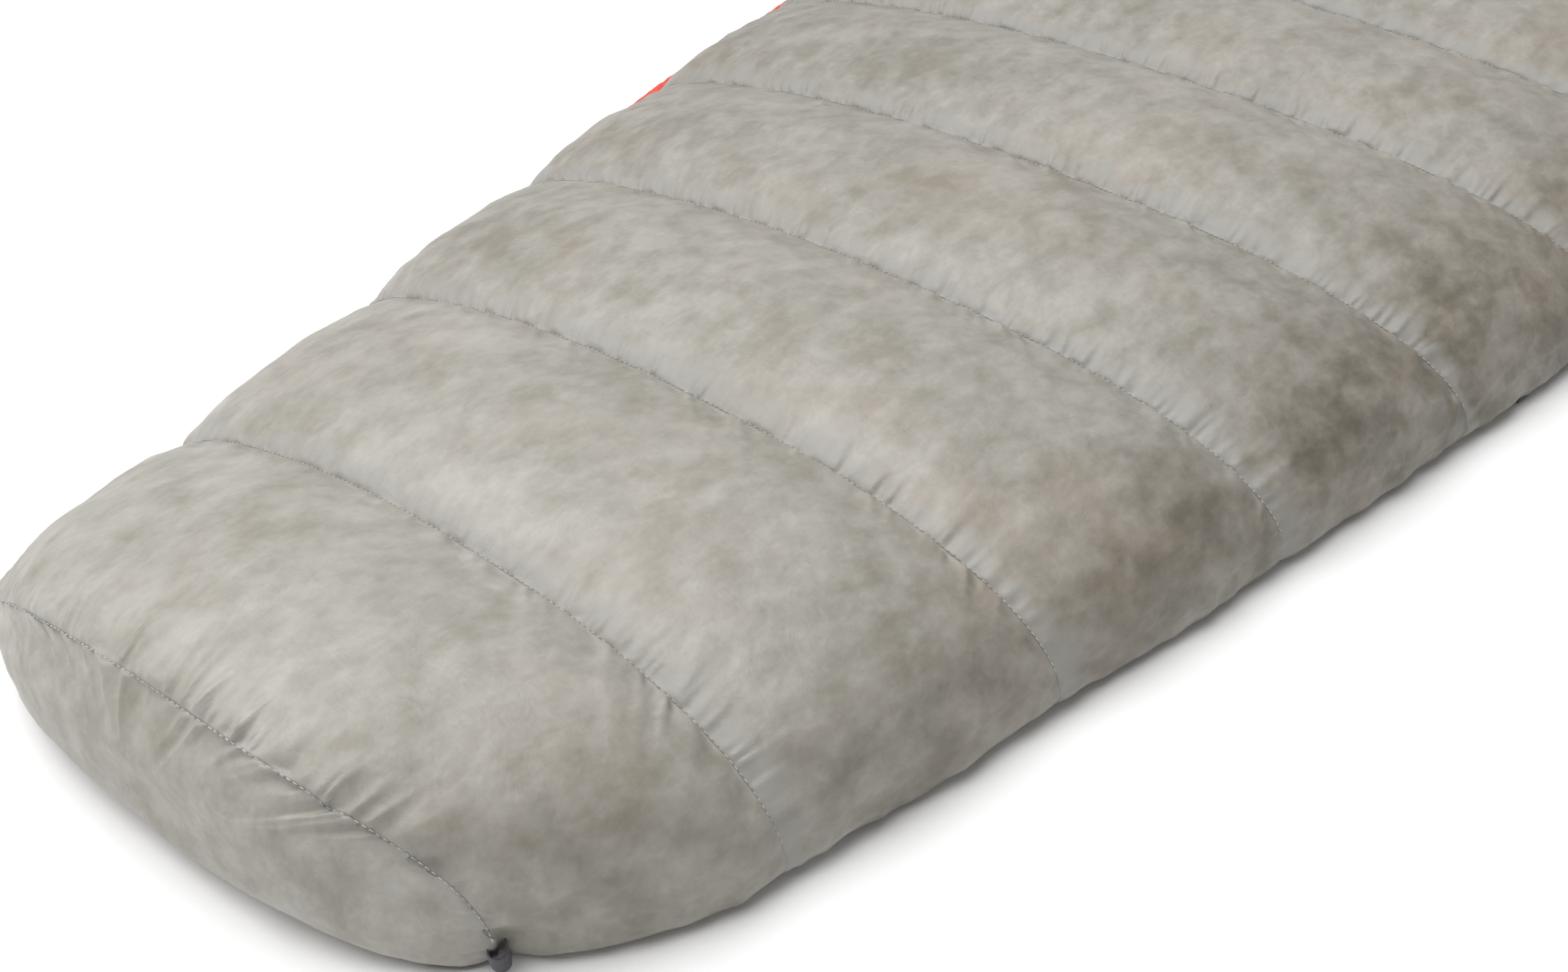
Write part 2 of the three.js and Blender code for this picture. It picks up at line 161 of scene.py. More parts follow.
# ---- the quilt's form
SIDE_LEVEL = 13.5
FOOT_HEIGHT = 88.0
FIRST_HEIGHT = 79.5
SECOND_HEIGHT = 76.0
BODY_HEIGHT = 74.5
FOOT_WIDTH = 174.5
WIDTH_GAIN = 190
WIDTH_RATE = 1.1636e-3
TOP_PUFF = 16.5
PUFF_POWERS = (3.0, 2.0)
PUFF_FULL = 0.55
SIDE_PUFF = (8.5, 9.0)
LEFT_POWERS = (1.8, 2.33)
RIGHT_POWERS = (2.8, 2.26)
CROWN_SHIFT = -10.0
SEAM_BOW = -7.5
SEAM_SKEW = -4.5
RING_TIP = 8.0
RING_SWEEP = (16.0, 30.0)
EDGE_OUT = 20.0
EDGE_START = 470
EDGE_RISE = 80
STRAIGHT_EDGE = (550.0, 990.0)
LOW_EDGE = 0.12
LOW_LIP = 2.2
LINING_DEPTH = 18.5
FILL_DEPTH = 17.4
CORNER_INSET = (22.0, 54.0)
CORNER_LENGTH = 140
CORNER_POWER = 1.5
KINK_X = 85.6
KINK_DEPTH = 3.0
KINK_WIDTH = 6
KINK_LENGTH = 0.05
WRAP = 0.12
WRAP_TUCK = 8.5
WRAP_CLEAR = 0.7
WRAP_SIDE = 0.9
SEAM_TUCK = 3.0
LOOP_CORNER = (147, 40)
LOOP_ROOM = 13
LOOP_ROOM_UP = 24
LOOP_PUSH = 6.0


def full_turn(count):
    return np.linspace(0, 2 * np.pi, count, endpoint=False)


def arc_along(points):
    """The length along a row of points, up to each."""
    return np.concatenate([[0], np.cumsum(np.linalg.norm(np.diff(points, axis=0), axis=1))])


def xyz(*parts):
    return np.stack(np.broadcast_arrays(*parts), -1)


def by_side(side, pair):
    """The pair's first value on the left side, its second on the right."""
    return np.where(np.asarray(side) < 0, pair[0], pair[1])


def half_width(station, side=1.0):
    corner = np.maximum(0, 1 - station / CORNER_LENGTH) ** CORNER_POWER
    return FOOT_WIDTH + WIDTH_GAIN * np.sin(station * WIDTH_RATE) - by_side(side, CORNER_INSET) * corner


def edge_share(station):
    """0 near the foot, where the left side is a closed fold, 1 where its open edge stands out."""
    return smooth((station - EDGE_START) / EDGE_RISE)


def left_edge(station):
    first, last = STRAIGHT_EDGE
    straight = np.interp(station, [first, last], [half_width(first), half_width(last)])
    out = np.where(station < last, straight, half_width(station))
    return np.where(station < first, half_width(station, -1), out) + EDGE_OUT * edge_share(station)


def seam_height(q):
    heights = [FOOT_HEIGHT, FIRST_HEIGHT, SECOND_HEIGHT, BODY_HEIGHT, BODY_HEIGHT]
    return np.interp(q, [0, 1, 2, 3, CHAMBERS], heights)


CORNER_STATION = RING_TIP + RING_SWEEP[1]


def ring_station(side):
    return RING_TIP + by_side(side, RING_SWEEP) * np.abs(side) ** 3


def station_at(q, side):
    bow = np.minimum(q, 1) * np.clip(CHAMBERS - q, 0, 1) * (SEAM_BOW * side ** 2 + SEAM_SKEW * side)
    near_foot = ring_station(side) * (1 - q) + PITCH * q
    return np.where(q < 1, near_foot, q * PITCH) + bow


def width_station(q):
    return np.where(q < 1, CORNER_STATION * (1 - q) + PITCH * q, q * PITCH)


def chamber_puff(f):
    """Height of a chamber between its seams, steeper on the head side of each seam."""
    rising = 1 - np.maximum(0, 1 - 2 * f) ** PUFF_POWERS[0]
    falling = 1 - np.maximum(0, 2 * f - 1) ** PUFF_POWERS[1]
    return rising * falling


def section(q, u, depth=0.0, lift=0.0):
    """A point of the top layer at q. u runs from the left edge (0) over the top to the right side (1), and
    beyond 1 the fabric wraps in under that side. depth goes inwards and lift is the chamber's puff."""
    q, u, depth, lift = np.broadcast_arrays(*[np.asarray(a, float) for a in (q, u, depth, lift)])
    turn = np.pi * (1 - np.minimum(u, 1))
    across = np.cos(turn)
    up = np.clip(np.sin(turn), 0, 1)
    plan = by_side(across, (LEFT_POWERS[0], RIGHT_POWERS[0]))
    dome = by_side(across, (LEFT_POWERS[1], RIGHT_POWERS[1]))
    side = signed_power(across, 2 / plan)
    rise = up ** (2 / dome)
    raised = lift * smooth(up / PUFF_FULL)
    low = smooth(up / LOW_EDGE)
    under = np.clip((u - 1) / WRAP, 0, 1) * np.pi / 2
    x = (half_width(width_station(q), across) - depth) * side + CROWN_SHIFT * rise
    x = x + across * by_side(across, SIDE_PUFF) * raised
    x = x - np.minimum(np.sign(across), 0) * LOW_LIP * (1 - low)
    x = x - WRAP_TUCK * (1 - np.cos(under))
    x = x - SEAM_TUCK * (across > WRAP_SIDE) * (1 - lift) * (depth < 1) * np.sin(under)
    z = SIDE_LEVEL + (seam_height(q) - depth - SIDE_LEVEL) * rise + up * TOP_PUFF * raised
    kink = np.exp(-((x - KINK_X) / KINK_WIDTH) ** 2 - (q / KINK_LENGTH) ** 2)
    z = z - KINK_DEPTH * kink * rise * (depth < 1)
    return xyz(x, station_at(q, side), z - (SIDE_LEVEL - WRAP_CLEAR) * np.sin(under))


def clear_of_loop(points):
    """The right foot corner gives way round the webbing loop that is sewn in under it."""
    near = ((points[..., 0] - LOOP_CORNER[0]) / LOOP_ROOM) ** 2
    near = near + ((points[..., 1] - LOOP_CORNER[1]) / LOOP_ROOM) ** 2
    near = near + (points[..., 2] / LOOP_ROOM_UP) ** 4
    return points + LOOP_PUSH * np.exp(-near)[..., None] * np.array([-0.7, 0.7, 0])


ARC_STEPS = 4001


def even_columns(q, spacing, last=1.0):
    """Values of u that are evenly spaced along the section at q, and the arc length at each."""
    u = np.linspace(0, last, ARC_STEPS)
    arc = arc_along(section(q, u))
    count = int(arc[-1] / spacing)
    targets = np.linspace(0, arc[-1], count + 1)
    return np.interp(targets, arc, u), targets


def normals(grid):
    """Unit normals of a grid of points, outwards for the top layer."""
    across = np.gradient(grid, axis=1)
    along = np.gradient(grid, axis=0)
    n = np.cross(across, along)
    return n / np.maximum(np.linalg.norm(n, axis=-1, keepdims=True), 1e-9)


# ---- mesh building
def add_piece(name, shape, material, body="quilt_body", replaces=(), values=None, bend=False):
    """A mesh object on its body, or, if bend is set, on no body with its transform baked into its points.
    shape is its points and faces, and values are point attributes."""
    points, faces = shape
    mesh = bpy.data.meshes.new(name)
    mesh.from_pydata(place(points).tolist(), [], faces)
    mesh.update()
    body_mesh = bmesh.new()
    body_mesh.from_mesh(mesh)
    bmesh.ops.recalc_face_normals(body_mesh, faces=body_mesh.faces)
    body_mesh.to_mesh(mesh)
    outward = body_mesh.calc_volume(signed=True) > 0
    body_mesh.free()
    if not outward:
        mesh.flip_normals()
    mesh.polygons.foreach_set("use_smooth", [True] * len(mesh.polygons))
    for key, value in (values or {}).items():
        attribute = mesh.attributes.new(key, "FLOAT", "POINT")
        attribute.data.foreach_set("value", np.asarray(value, np.float32).ravel())
    mesh.materials.append(material)
    piece = add_object(name, mesh)
    if bend:
        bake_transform(piece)
    else:
        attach(piece, body)
    if replaces:
        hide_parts(*replaces)
    return piece


def grid_faces(rows, columns, start=0, wrap=False, flip=False):
    """Quads over a grid of points. wrap joins the last column to the first."""
    r = np.arange(rows - 1)[:, None]
    c = np.arange(columns if wrap else columns - 1)[None]
    after = (c + 1) % columns
    quads = np.stack(np.broadcast_arrays(r * columns + c, r * columns + after,
                                         (r + 1) * columns + after, (r + 1) * columns + c), -1)
    quads = quads.reshape(-1, 4) + start
    return (quads[:, ::-1] if flip else quads).tolist()


def slab(outer, inner):
    """Points and faces of a closed body. outer is its outside grid, inner the inside with as many columns."""
    rows, columns = outer.shape[:2]
    low = inner.shape[0]
    start = rows * columns
    faces = grid_faces(rows, columns) + grid_faces(low, columns, start, flip=True)
    for c in range(columns - 1):
        faces.append([c + 1, c, start + c, start + c + 1])
        top = (rows - 1) * columns + c
        under = start + (low - 1) * columns + c
        faces.append([top, top + 1, under + 1, under])
    first = [r * columns for r in range(rows)] + [start + r * columns for r in reversed(range(low))]
    last = [r * columns + columns - 1 for r in range(rows)]
    last += [start + r * columns + columns - 1 for r in reversed(range(low))]
    faces.append(first)
    faces.append(last[::-1])
    return np.concatenate([outer.reshape(-1, 3), inner.reshape(-1, 3)]), faces


def tube(rings):
    """A closed body from rings of points, with flat ends."""
    rows, columns = rings.shape[:2]
    faces = grid_faces(rows, columns, wrap=True)
    faces.append(list(range(columns))[::-1])
    faces.append([(rows - 1) * columns + c for c in range(columns)])
    return rings.reshape(-1, 3), faces


# ---- materials
def linear(r, g, b):
    def one(v):
        v /= 255
        return v / 12.92 if v <= 0.04045 else ((v + 0.055) / 1.055) ** 2.4
    return (one(r), one(g), one(b), 1)


class Nodes:
    """Small helper to write a material's node tree."""

    def __init__(self, name, roughness, **sockets):
        self.material = bpy.data.materials.new(name)
        self.material.use_nodes = True
        self.tree = self.material.node_tree
        self.shader = self.tree.nodes["Principled BSDF"]
        self.shader.inputs["Roughness"].default_value = roughness
        for key, value in sockets.items():
            self.shader.inputs[key.replace("_", " ")].default_value = value
        self.position = self.node("TexCoord").outputs["Object"]

    def node(self, kind, **sockets):
        node = self.tree.nodes.new("ShaderNode" + kind)
        for key, value in sockets.items():
            node.inputs[key].default_value = value
        return node

    def link(self, a, b):
        self.tree.links.new(a, b)

    def feed(self, value, socket):
        """Links an output to the socket, or sets the socket to a plain value."""
        if hasattr(value, "links"):
            self.link(value, socket)
        else:
            socket.default_value = value

    def noise(self, scale, detail=3, roughness=0.5, distortion=0, vector=None):
        node = self.node("TexNoise", Scale=scale, Detail=detail, Roughness=roughness, Distortion=distortion)
        self.link(vector or self.position, node.inputs["Vector"])
        return node.outputs["Fac"]

    def stretched(self, scale, detail, roughness, distortion, turned=(0, 0, 0)):
        """Noise with its own scale along each axis."""
        mapping = self.node("Mapping", Scale=scale, Rotation=turned)
        self.link(self.position, mapping.inputs["Vector"])
        return self.noise(1, detail, roughness, distortion, mapping.outputs["Vector"])

    def ramp(self, value, stops):
        node = self.node("ValToRGB")
        elements = node.color_ramp.elements
        while len(elements) < len(stops):
            elements.new(0.5)
        for element, (position, color) in zip(elements, stops):
            element.position = position
            element.color = color
        self.link(value, node.inputs["Fac"])
        return node.outputs["Color"]

    def mix(self, factor, a, b, blend="MIX"):
        node = self.node("Mix")
        node.data_type = "RGBA"
        node.blend_type = blend
        for value, socket in ((factor, node.inputs[0]), (a, node.inputs[6]), (b, node.inputs[7])):
            self.feed(value, socket)
        return node.outputs[2]

    def math(self, operation, a, b=0.0):
        node = self.node("Math")
        node.operation = operation
        self.feed(a, node.inputs[0])
        self.feed(b, node.inputs[1])
        return node.outputs[0]

    def attribute(self, name):
        node = self.node("Attribute")
        node.attribute_name = name
        return node.outputs["Fac"]

    def bump(self, height, distance, strength=1.0, under=None):
        node = self.node("Bump", Distance=distance, Strength=strength)
        self.link(height, node.inputs["Height"])
        if under:
            self.link(under, node.inputs["Normal"])
        return node.outputs["Normal"]

    def finish(self, color, normal=None):
        self.link(color, self.shader.inputs["Base Color"])
        if normal:
            self.link(normal, self.shader.inputs["Normal"])
        return self.material


def shell_material():
    """Thin fabric over down. The mesh attributes are the painted shade, which darkens the slopes and the far
    chambers where less light falls, and clear, which marks where no down lies against the fabric, beside the
    seams."""
    n = Nodes("translucent_shell", 0.48, Sheen_Weight=0.12, Sheen_Roughness=0.4, Specular_IOR_Level=0.42)
    # The painted shade: 0 where the cloth is lit, up to 1 where it is shaded.
    painted_shade = n.attribute("painted_shade")
    # Down behind the fabric: broad clouds, clumps and a fine grain.
    clouds = n.noise(13, 3, 0.5, 0.3)
    clumps = n.stretched((66, 44, 60), 4, 0.52, 0.15, turned=(0.2, 0.3, 0.6))
    grain = n.stretched((210, 150, 180), 3, 0.6, 0.4, turned=(0.1, 0.4, 0.2))
    coarse = n.math("ADD", n.math("MULTIPLY", clouds, 0.34), n.math("MULTIPLY", clumps, 0.5))
    value = n.math("ADD", coarse, n.math("MULTIPLY", grain, 0.16))
    # Lit and shaded copies of the down's colour, which the painted shade mixes.
    lit_down = n.ramp(value, [
        (0.38, linear(148, 144, 134)),
        (0.46, linear(157, 154, 146)),
        (0.54, linear(165, 162, 155)),
        (0.62, linear(172, 170, 164)),
    ])
    shaded = n.ramp(value, [
        (0.38, linear(100, 95, 84)),
        (0.47, linear(118, 113, 102)),
        (0.55, linear(133, 128, 119)),
        (0.64, linear(145, 142, 134)),
    ])
    # The down's colour with the painted shade in it.
    down = n.mix(painted_shade, lit_down, shaded)
    tint = n.noise(9, 4, 0.55, 0.6)
    share = n.ramp(tint, [(0.5, (0, 0, 0, 1)), (0.68, (0.11, 0.11, 0.11, 1))])
    warm = n.mix(share, down, linear(160, 128, 104))
    fibres = n.stretched((150, 70, 100), 5, 0.6, 1.5, turned=(0.3, 0.2, 0.7))
    streaks = n.ramp(fibres, [(0.3, linear(118, 116, 110)), (0.7, linear(210, 208, 204))])
    streaked = n.mix(0.12, warm, streaks, "OVERLAY")
    # Cooler, even fabric in the strips beside the seams, as lit and shaded copies mixed by the painted shade.
    plain = n.mix(painted_shade, linear(163, 161, 156), linear(136, 134, 129))
    clear = n.mix(n.noise(40, 4, 0.5), plain, linear(145, 143, 138))
    strip = n.ramp(n.attribute("clear"), [(0.2, (0, 0, 0, 1)), (0.6, (0.75, 0.75, 0.75, 1))])
    color = n.mix(strip, streaked, clear)
    crinkle = n.stretched((60, 95, 75), 5, 0.55, 1.0)
    fine = n.stretched((300, 460, 380), 3, 0.6, 0.6)
    normal = n.bump(crinkle, 0.0014, 0.4)
    normal = n.bump(fine, 0.0002, 0.25, normal)
    return n.finish(color, normal)


def lining_material():
    n = Nodes("red_lining", 0.46, Sheen_Weight=0.2, Specular_IOR_Level=0.4)
    color = n.ramp(n.noise(30, 5, 0.6, 0.8), [(0.3, linear(205, 38, 24)), (0.7, linear(242, 66, 42))])
    crinkle = n.stretched((130, 200, 160), 5, 0.6, 1.2)
    return n.finish(color, n.bump(crinkle, 0.0015, 0.6))


def webbing_material(name, dark, light, rib_scale):
    """Ribbed woven tape between two tones."""
    n = Nodes(name, 0.78, Sheen_Weight=0.3)
    weave = n.node("TexWave", Scale=rib_scale, Distortion=0.6)
    weave.bands_direction = "DIAGONAL"
    n.link(n.position, weave.inputs["Vector"])
    speckle = n.ramp(n.noise(300, 4), [(0.3, dark), (0.7, light)])
    ribs = n.ramp(weave.outputs["Fac"], [(0, dark), (1, light)])
    color = n.mix(0.5, speckle, ribs)
    return n.finish(color, n.bump(weave.outputs["Fac"], 0.0004, 0.8))


def speckled_material(name, roughness, dark, light, scales, bump, **sockets):
    """A fine speckle in two colours with a faint bump. scales are the noise scale and detail of each."""
    n = Nodes(name, roughness, **sockets)
    color = n.ramp(n.noise(*scales[0]), [(0.3, linear(*dark)), (0.7, linear(*light))])
    return n.finish(color, n.bump(n.noise(*scales[1]), *bump))


def floor_material():
    n = Nodes("pale_floor", 0.9, Specular_IOR_Level=0.1)
    color = n.ramp(n.noise(2, 2), [(0.3, (0.9, 0.9, 0.9, 1)), (0.7, (0.915, 0.915, 0.915, 1))])
    return n.finish(color)


SHELL = shell_material()
LINING = lining_material()
WEBBING = webbing_material("grosgrain", linear(44, 41, 50), linear(84, 80, 92), 900)
TAPE = webbing_material("zip_tape", linear(28, 28, 32), linear(52, 52, 58), 1100)
METAL = speckled_material(
    "coated_metal", 0.38, (58, 58, 62), (84, 84, 90), ((400, 4), (900, 3)), (0.0001, 0.4), Metallic=0.85)
PLASTIC = speckled_material(
    "moulded_plastic", 0.5, (40, 39, 45), (58, 57, 64), ((300, 4), (1200, 2)), (0.0001, 0.5))
THREAD = speckled_material(
    "seam_thread", 0.6, (150, 148, 140), (196, 194, 187), ((500, 3), (2500, 2)), (0.0002, 0.6),
    Sheen_Weight=0.3)


# ---- puckers and wrinkles
# Gathers beside a seam, a row for each size: seed step, depth, wave along the seam, reach from it, and slant.
HEAD_PUCKERS = ((0, 1.3, 5.0, 11, 0.15), (1, 1.3, 9, 20, 0.3), (11, 1.0, 18, 36, 0.3))
FIRST_PUCKERS = ((0, 2.0, 6, 12, 0.2), (1, 3.4, 12, 24, 0.2), (11, 2.4, 23, 42, 0.3))
FOOT_PUCKERS = ((2, 1.2, 6, 12, -0.5), (3, 2.0, 11, 24, -0.8))
PUCKER_SPREAD = 70
PUCKER_START = 1.2
PUCKER_FALL = 1.3
CREASE_LOW = 25
CREASE_WANDER = 5
CREASE_DEPTH = -0.9
CREASE_WIDTH = 2.2
RUMPLE_DEPTH = 1.0
RUMPLE_LOW = 45
LUMP_DEPTH = 1.2
SMALL_DEPTH = 0.2
FOLD_DEPTH = 1.3
DRAPE_DEPTH = 1.1
EDGE_CALM = 25
SEAM_CALM = 30


def pucker(arc, distance, seed, depth, wave, reach, slant=0.0):
    """Gathers that run out from a seam: arc runs along it and distance away from it."""
    along = (arc + slant * distance) / wave + 0.35 * noise(arc / (wave * 2.3), distance / 30, seed + 3)
    drift = distance / PUCKER_SPREAD
    length = reach * (0.4 + 1.35 * (0.5 + 0.5 * noise(arc / (wave * 1.7), 3.3, seed + 5)) ** 2)
    strong = 0.7 + 0.3 * noise(arc / (wave * 6), 1.7, seed + 9)
    fall = np.exp(-(distance / length) ** PUCKER_FALL) * (1 - np.exp(-distance / PUCKER_START))
    return depth * strong * ridge(along, drift, seed) * fall


def gathers(arc, distance, seed, rows):
    return sum(pucker(arc, distance, seed + step, *sizes) for step, *sizes in rows)


def chamber_relief(chamber, arc, up, right, station, from_foot, to_head):
    """Height above the chamber's smooth form: gathers, lumps, folds and the crease low on the right."""
    seed = 100 * chamber
    total = arc.max()
    edge = smooth(arc / EDGE_CALM) * smooth((total - arc) / EDGE_CALM)
    steep = 1 - smooth((up - 0.15) / 0.5)
    head_side = gathers(arc, from_foot, seed, FIRST_PUCKERS if chamber == 1 else HEAD_PUCKERS)
    foot_side = gathers(arc, to_head, seed, FOOT_PUCKERS) * (0.6 + 0.5 * right)
    from_seam = np.minimum(from_foot, to_head)
    body = smooth(from_seam / SEAM_CALM)
    lumps = LUMP_DEPTH * layered(arc / 52, station / 46, seed + 4, 3) * body
    small = layered(arc / 9 + 0.4 * station / 9, station / 12, seed + 5, 2)
    small = SMALL_DEPTH * small * (0.4 + 0.6 * body)
    wander = 0.5 * noise(arc / 60, 0.5, seed)
    folds = FOLD_DEPTH * steep * ridge(station / 19 + wander, arc / 90, seed + 6) * body
    drapes = DRAPE_DEPTH * steep * ridge(arc / 13, station / 45, seed + 7) * body * right
    low = total - arc
    crease_at = CREASE_LOW + CREASE_WANDER * noise(station / 60, 0.2, seed + 8)
    crease = CREASE_DEPTH * np.exp(-((low - crease_at) / CREASE_WIDTH) ** 2)
    crease = crease * (0.6 + 0.4 * noise(station / 25, 0.7, seed + 9))
    rumple = RUMPLE_DEPTH * ridge(station / 15, low / 30, seed + 10) * smooth(1 - low / RUMPLE_LOW)
    pinched = (crease + rumple) * right * smooth(from_seam / 12)
    return edge * (head_side + foot_side) + lumps + small + folds * edge + drapes * edge + pinched


# ---- top chambers
FINE_CHAMBERS = 6
FINE_ROWS = 54
COARSE_ROWS = 36
FINE_SPACING = 1.35
COARSE_SPACING = 2.6
INNER_ROWS = 7
INNER_SPAN = (0.995, 0.005)
ROW_GATHER = 0.72
LIP_HEIGHT = 1.5
LIP_RISE = 5
LIP_FALL = 40
LIP_UP = 0.3
LEFT_FLOOR = SIDE_LEVEL - 0.5
RIGHT_FLOOR = 0.4
CLEAR_WIDTH = 13
CLEAR_LEAST = 4
CLEAR_HEAD = 0.75
CLEAR_FOOT = 0.35
CLEAR_FOOT_WIDTH = 7
CLEAR_FIRST = 0.4
CLEAR_FIRST_WIDTH = 9
# Where the painted shade towards the head begins, the run over which it grows, and how dark it gets.
AWAY_START = 150
AWAY_RUN = 450
AWAY_PAINTED_SHADE = 0.18


def bell(distance, width):
    return np.exp(-(distance / width) ** 2)


def graded(count):
    """Shares from 0 to 1 with more rows beside the seams."""
    t = np.linspace(0, 1, count + 1)
    return t - ROW_GATHER * np.sin(2 * np.pi * t) / (2 * np.pi)


def chamber_clear(chamber, arc, from_foot, to_head):
    """How clear of down the fabric is: a ragged strip headwards of a seam, a narrow one footwards."""
    foot_side = CLEAR_FOOT * bell(to_head, CLEAR_FOOT_WIDTH)
    if chamber == 1:
        return CLEAR_FIRST * bell(from_foot, CLEAR_FIRST_WIDTH) + foot_side
    ragged = CLEAR_WIDTH + 9 * noise(arc / 17, 0.3, chamber + 40) + 6 * noise(arc / 6, 0.3, chamber + 60)
    return CLEAR_HEAD * bell(from_foot, np.maximum(ragged, CLEAR_LEAST)) + foot_side


def chamber_painted_shade(station, facing, on_right):
    """Painted shade: darker on the slopes, where less light falls, and towards the head, away from the light.
    facing is the normal's part to the right.
    """
    away = np.clip((station - AWAY_START) / AWAY_RUN, 0, 1)
    right = smooth(np.clip(facing, 0, 1) / (0.75 - 0.28 * away)) * (0.5 + 0.5 * away) * on_right
    left = smooth((0.1 - facing) / 0.55)
    return np.clip(right + AWAY_PAINTED_SHADE * away + left * (0.22 + 0.38 * away), 0, 1)


def top_chamber(chamber):
    """One puffed chamber: its outside with all the relief, and a plain inside on the lining."""
    fine = chamber <= FINE_CHAMBERS
    f = graded(FINE_ROWS if fine else COARSE_ROWS)[:, None]
    q = chamber - 1 + f
    u, arc = even_columns(chamber - 0.5, FINE_SPACING if fine else COARSE_SPACING, 1 + WRAP)
    u, arc = u[None], arc[None]
    base = section(q, u, 0.0, chamber_puff(f))
    outward = normals(base)
    span = PITCH if chamber > 1 else PITCH - ring_station(np.cos(np.pi * (1 - np.minimum(u, 1))))
    from_foot = f * span + 0 * u
    to_head = (1 - f) * span + 0 * u
    up = np.sin(np.pi * np.minimum(u, 1)) + 0 * f
    on_right = (u > 0.5) * 1.0
    relief = chamber_relief(chamber, arc + 0 * f, up, on_right, base[..., 1], from_foot, to_head)
    lip = LIP_HEIGHT * (1 - np.exp(-from_foot / LIP_RISE)) * np.exp(-from_foot / LIP_FALL)
    lip = lip * smooth(up / LIP_UP)
    outer = base + outward * (relief + lip)[..., None]
    outer[..., 2] = np.maximum(outer[..., 2], np.where(u < 0.5, LEFT_FLOOR, RIGHT_FLOOR))
    outer = clear_of_loop(outer)
    inner_q = np.linspace(chamber - INNER_SPAN[0], chamber - INNER_SPAN[1], INNER_ROWS)[:, None]
    inner = section(inner_q, u, FILL_DEPTH)
    shape = slab(outer, inner)
    inside = np.zeros(inner[..., 0].size)
    clear = chamber_clear(chamber, arc, from_foot, to_head)
    # Painted shade from the slope of the surface and its distance from the foot.
    painted_shade = chamber_painted_shade(base[..., 1], outward[..., 0], on_right)
    values = {
        "clear": np.concatenate([clear.ravel(), inside]),
        "painted_shade": np.concatenate([painted_shade.ravel(), inside]),
    }
    part = "foot" if chamber <= FOLD_SEAM else "head"
    replaced = [f"down_top_{chamber:02d}", f"shell_top_{part}"]
    if chamber < CHAMBERS:
        replaced.append(f"baffle_{chamber:02d}")
    piece = add_piece(
        f"top_chamber_{chamber:02d}", shape, SHELL, replaces=replaced,
        body=BODIES[part], values=values,
        bend=chamber in (FOLD_SEAM, FOLD_SEAM + 1),
    )


for number in range(1, CHAMBERS + 1):
    top_chamber(number)


# ---- stitches
STITCH_LENGTH = 2.4
STITCH_GAP = 0.9
STITCH_RADIUS = 0.28
STITCH_LIFT = 0.25
STITCH_SIDES = 6
STITCH_PROFILE = ((-0.5, 0.35), (-0.3, 1.0), (0.3, 1.0), (0.5, 0.35))
STITCH_MARGIN = 2
SEAM_STEP = 3.0


def stitches(name, curve, body, bend=False):
    """A row of small thread stitches along a curve of points, each a closed capsule."""
    arc = arc_along(curve)
    starts = np.arange(STITCH_MARGIN, arc[-1] - STITCH_LENGTH - STITCH_MARGIN, STITCH_LENGTH + STITCH_GAP)
    points, faces = [], []
    for start in starts:
        at, ahead = [
            np.array([np.interp(start + share * STITCH_LENGTH, arc, curve[:, i]) for i in range(3)])
            for share in (0.5, 1)
        ]
        along = ahead - at
        along /= np.linalg.norm(along)
        out = np.array([0.0, 0.0, 1.0]) - along * along[2]
        if np.linalg.norm(out) < 0.3:
            # The curve runs upright here, so the stitch lies on the side of the quilt.
            away = math.copysign(1, at[0])
            out = np.array([away, 0, 0]) - along * along[0] * away
        out /= np.linalg.norm(out)
        wide = np.cross(along, out)
        base = len(points)
        for offset, swell in STITCH_PROFILE:
            centre = at + along * offset * STITCH_LENGTH
            for k in range(STITCH_SIDES):
                angle = k * 2 * math.pi / STITCH_SIDES
                ring = math.cos(angle) * wide * STITCH_RADIUS + math.sin(angle) * out * STITCH_RADIUS
                points.append(centre + ring * swell + out * STITCH_LIFT * swell)
        faces += grid_faces(len(STITCH_PROFILE), STITCH_SIDES, base, wrap=True)
        end = base + (len(STITCH_PROFILE) - 1) * STITCH_SIDES
        faces.append([base + k for k in range(STITCH_SIDES)][::-1])
        faces.append([end + k for k in range(STITCH_SIDES)])
    add_piece(name, (np.array(points), faces), THREAD, body, bend=bend)


for seam in range(1, CHAMBERS):
    seam_u, _ = even_columns(seam, SEAM_STEP)
    line = section(float(seam), seam_u[3:-3])
    rides = "quilt_body" if seam <= FOLD_SEAM else "head_end"
    stitches(f"seam_stitches_{seam:02d}", line, rides, bend=seam == FOLD_SEAM)


# ---- foot end panel
PANEL_BULGE = 15.0
PANEL_SHOULDER = 3.0
PANEL_MIDDLE = 40.0
PANEL_RINGS = 70
PANEL_SIDES = 560
PANEL_CALM = 25
# An even painted shade over the whole foot end panel.
PANEL_PAINTED_SHADE = 0.2
PANEL_CLEAR = 0.45
PANEL_CLEAR_WIDTH = 10
PANEL_PUCKERS = ((0, 2.4, 6, 11), (1, 3.0, 10, 15), (3, 1.2, 19, 17))
PANEL_SEED = 31
BACK_RINGS = 8
BACK_MIDDLE = 0.12
BACK_GAP = 0.6
LOWER_POWER = 5.5


def panel_rim(turn, depth=0.0):
    """Outline of the end panel: the top layer's section above, a flat-bottomed curve below."""
    u = np.clip(1 - turn / np.pi, 0, 1)
    upper = section(0.0, u, depth)
    across, down = np.cos(turn), np.clip(-np.sin(turn), 0, 1)
    width = half_width(CORNER_STATION, across) - depth - by_side(across, (LOW_LIP, 0))
    lower_side = signed_power(across, 2 / LOWER_POWER)
    lower_x = width * lower_side
    lower_z = SIDE_LEVEL - (SIDE_LEVEL - depth - 0.3) * down ** (2 / LOWER_POWER)
    lower = xyz(lower_x, ring_station(lower_side), lower_z)
    return np.where((turn <= np.pi)[..., None], upper, lower)


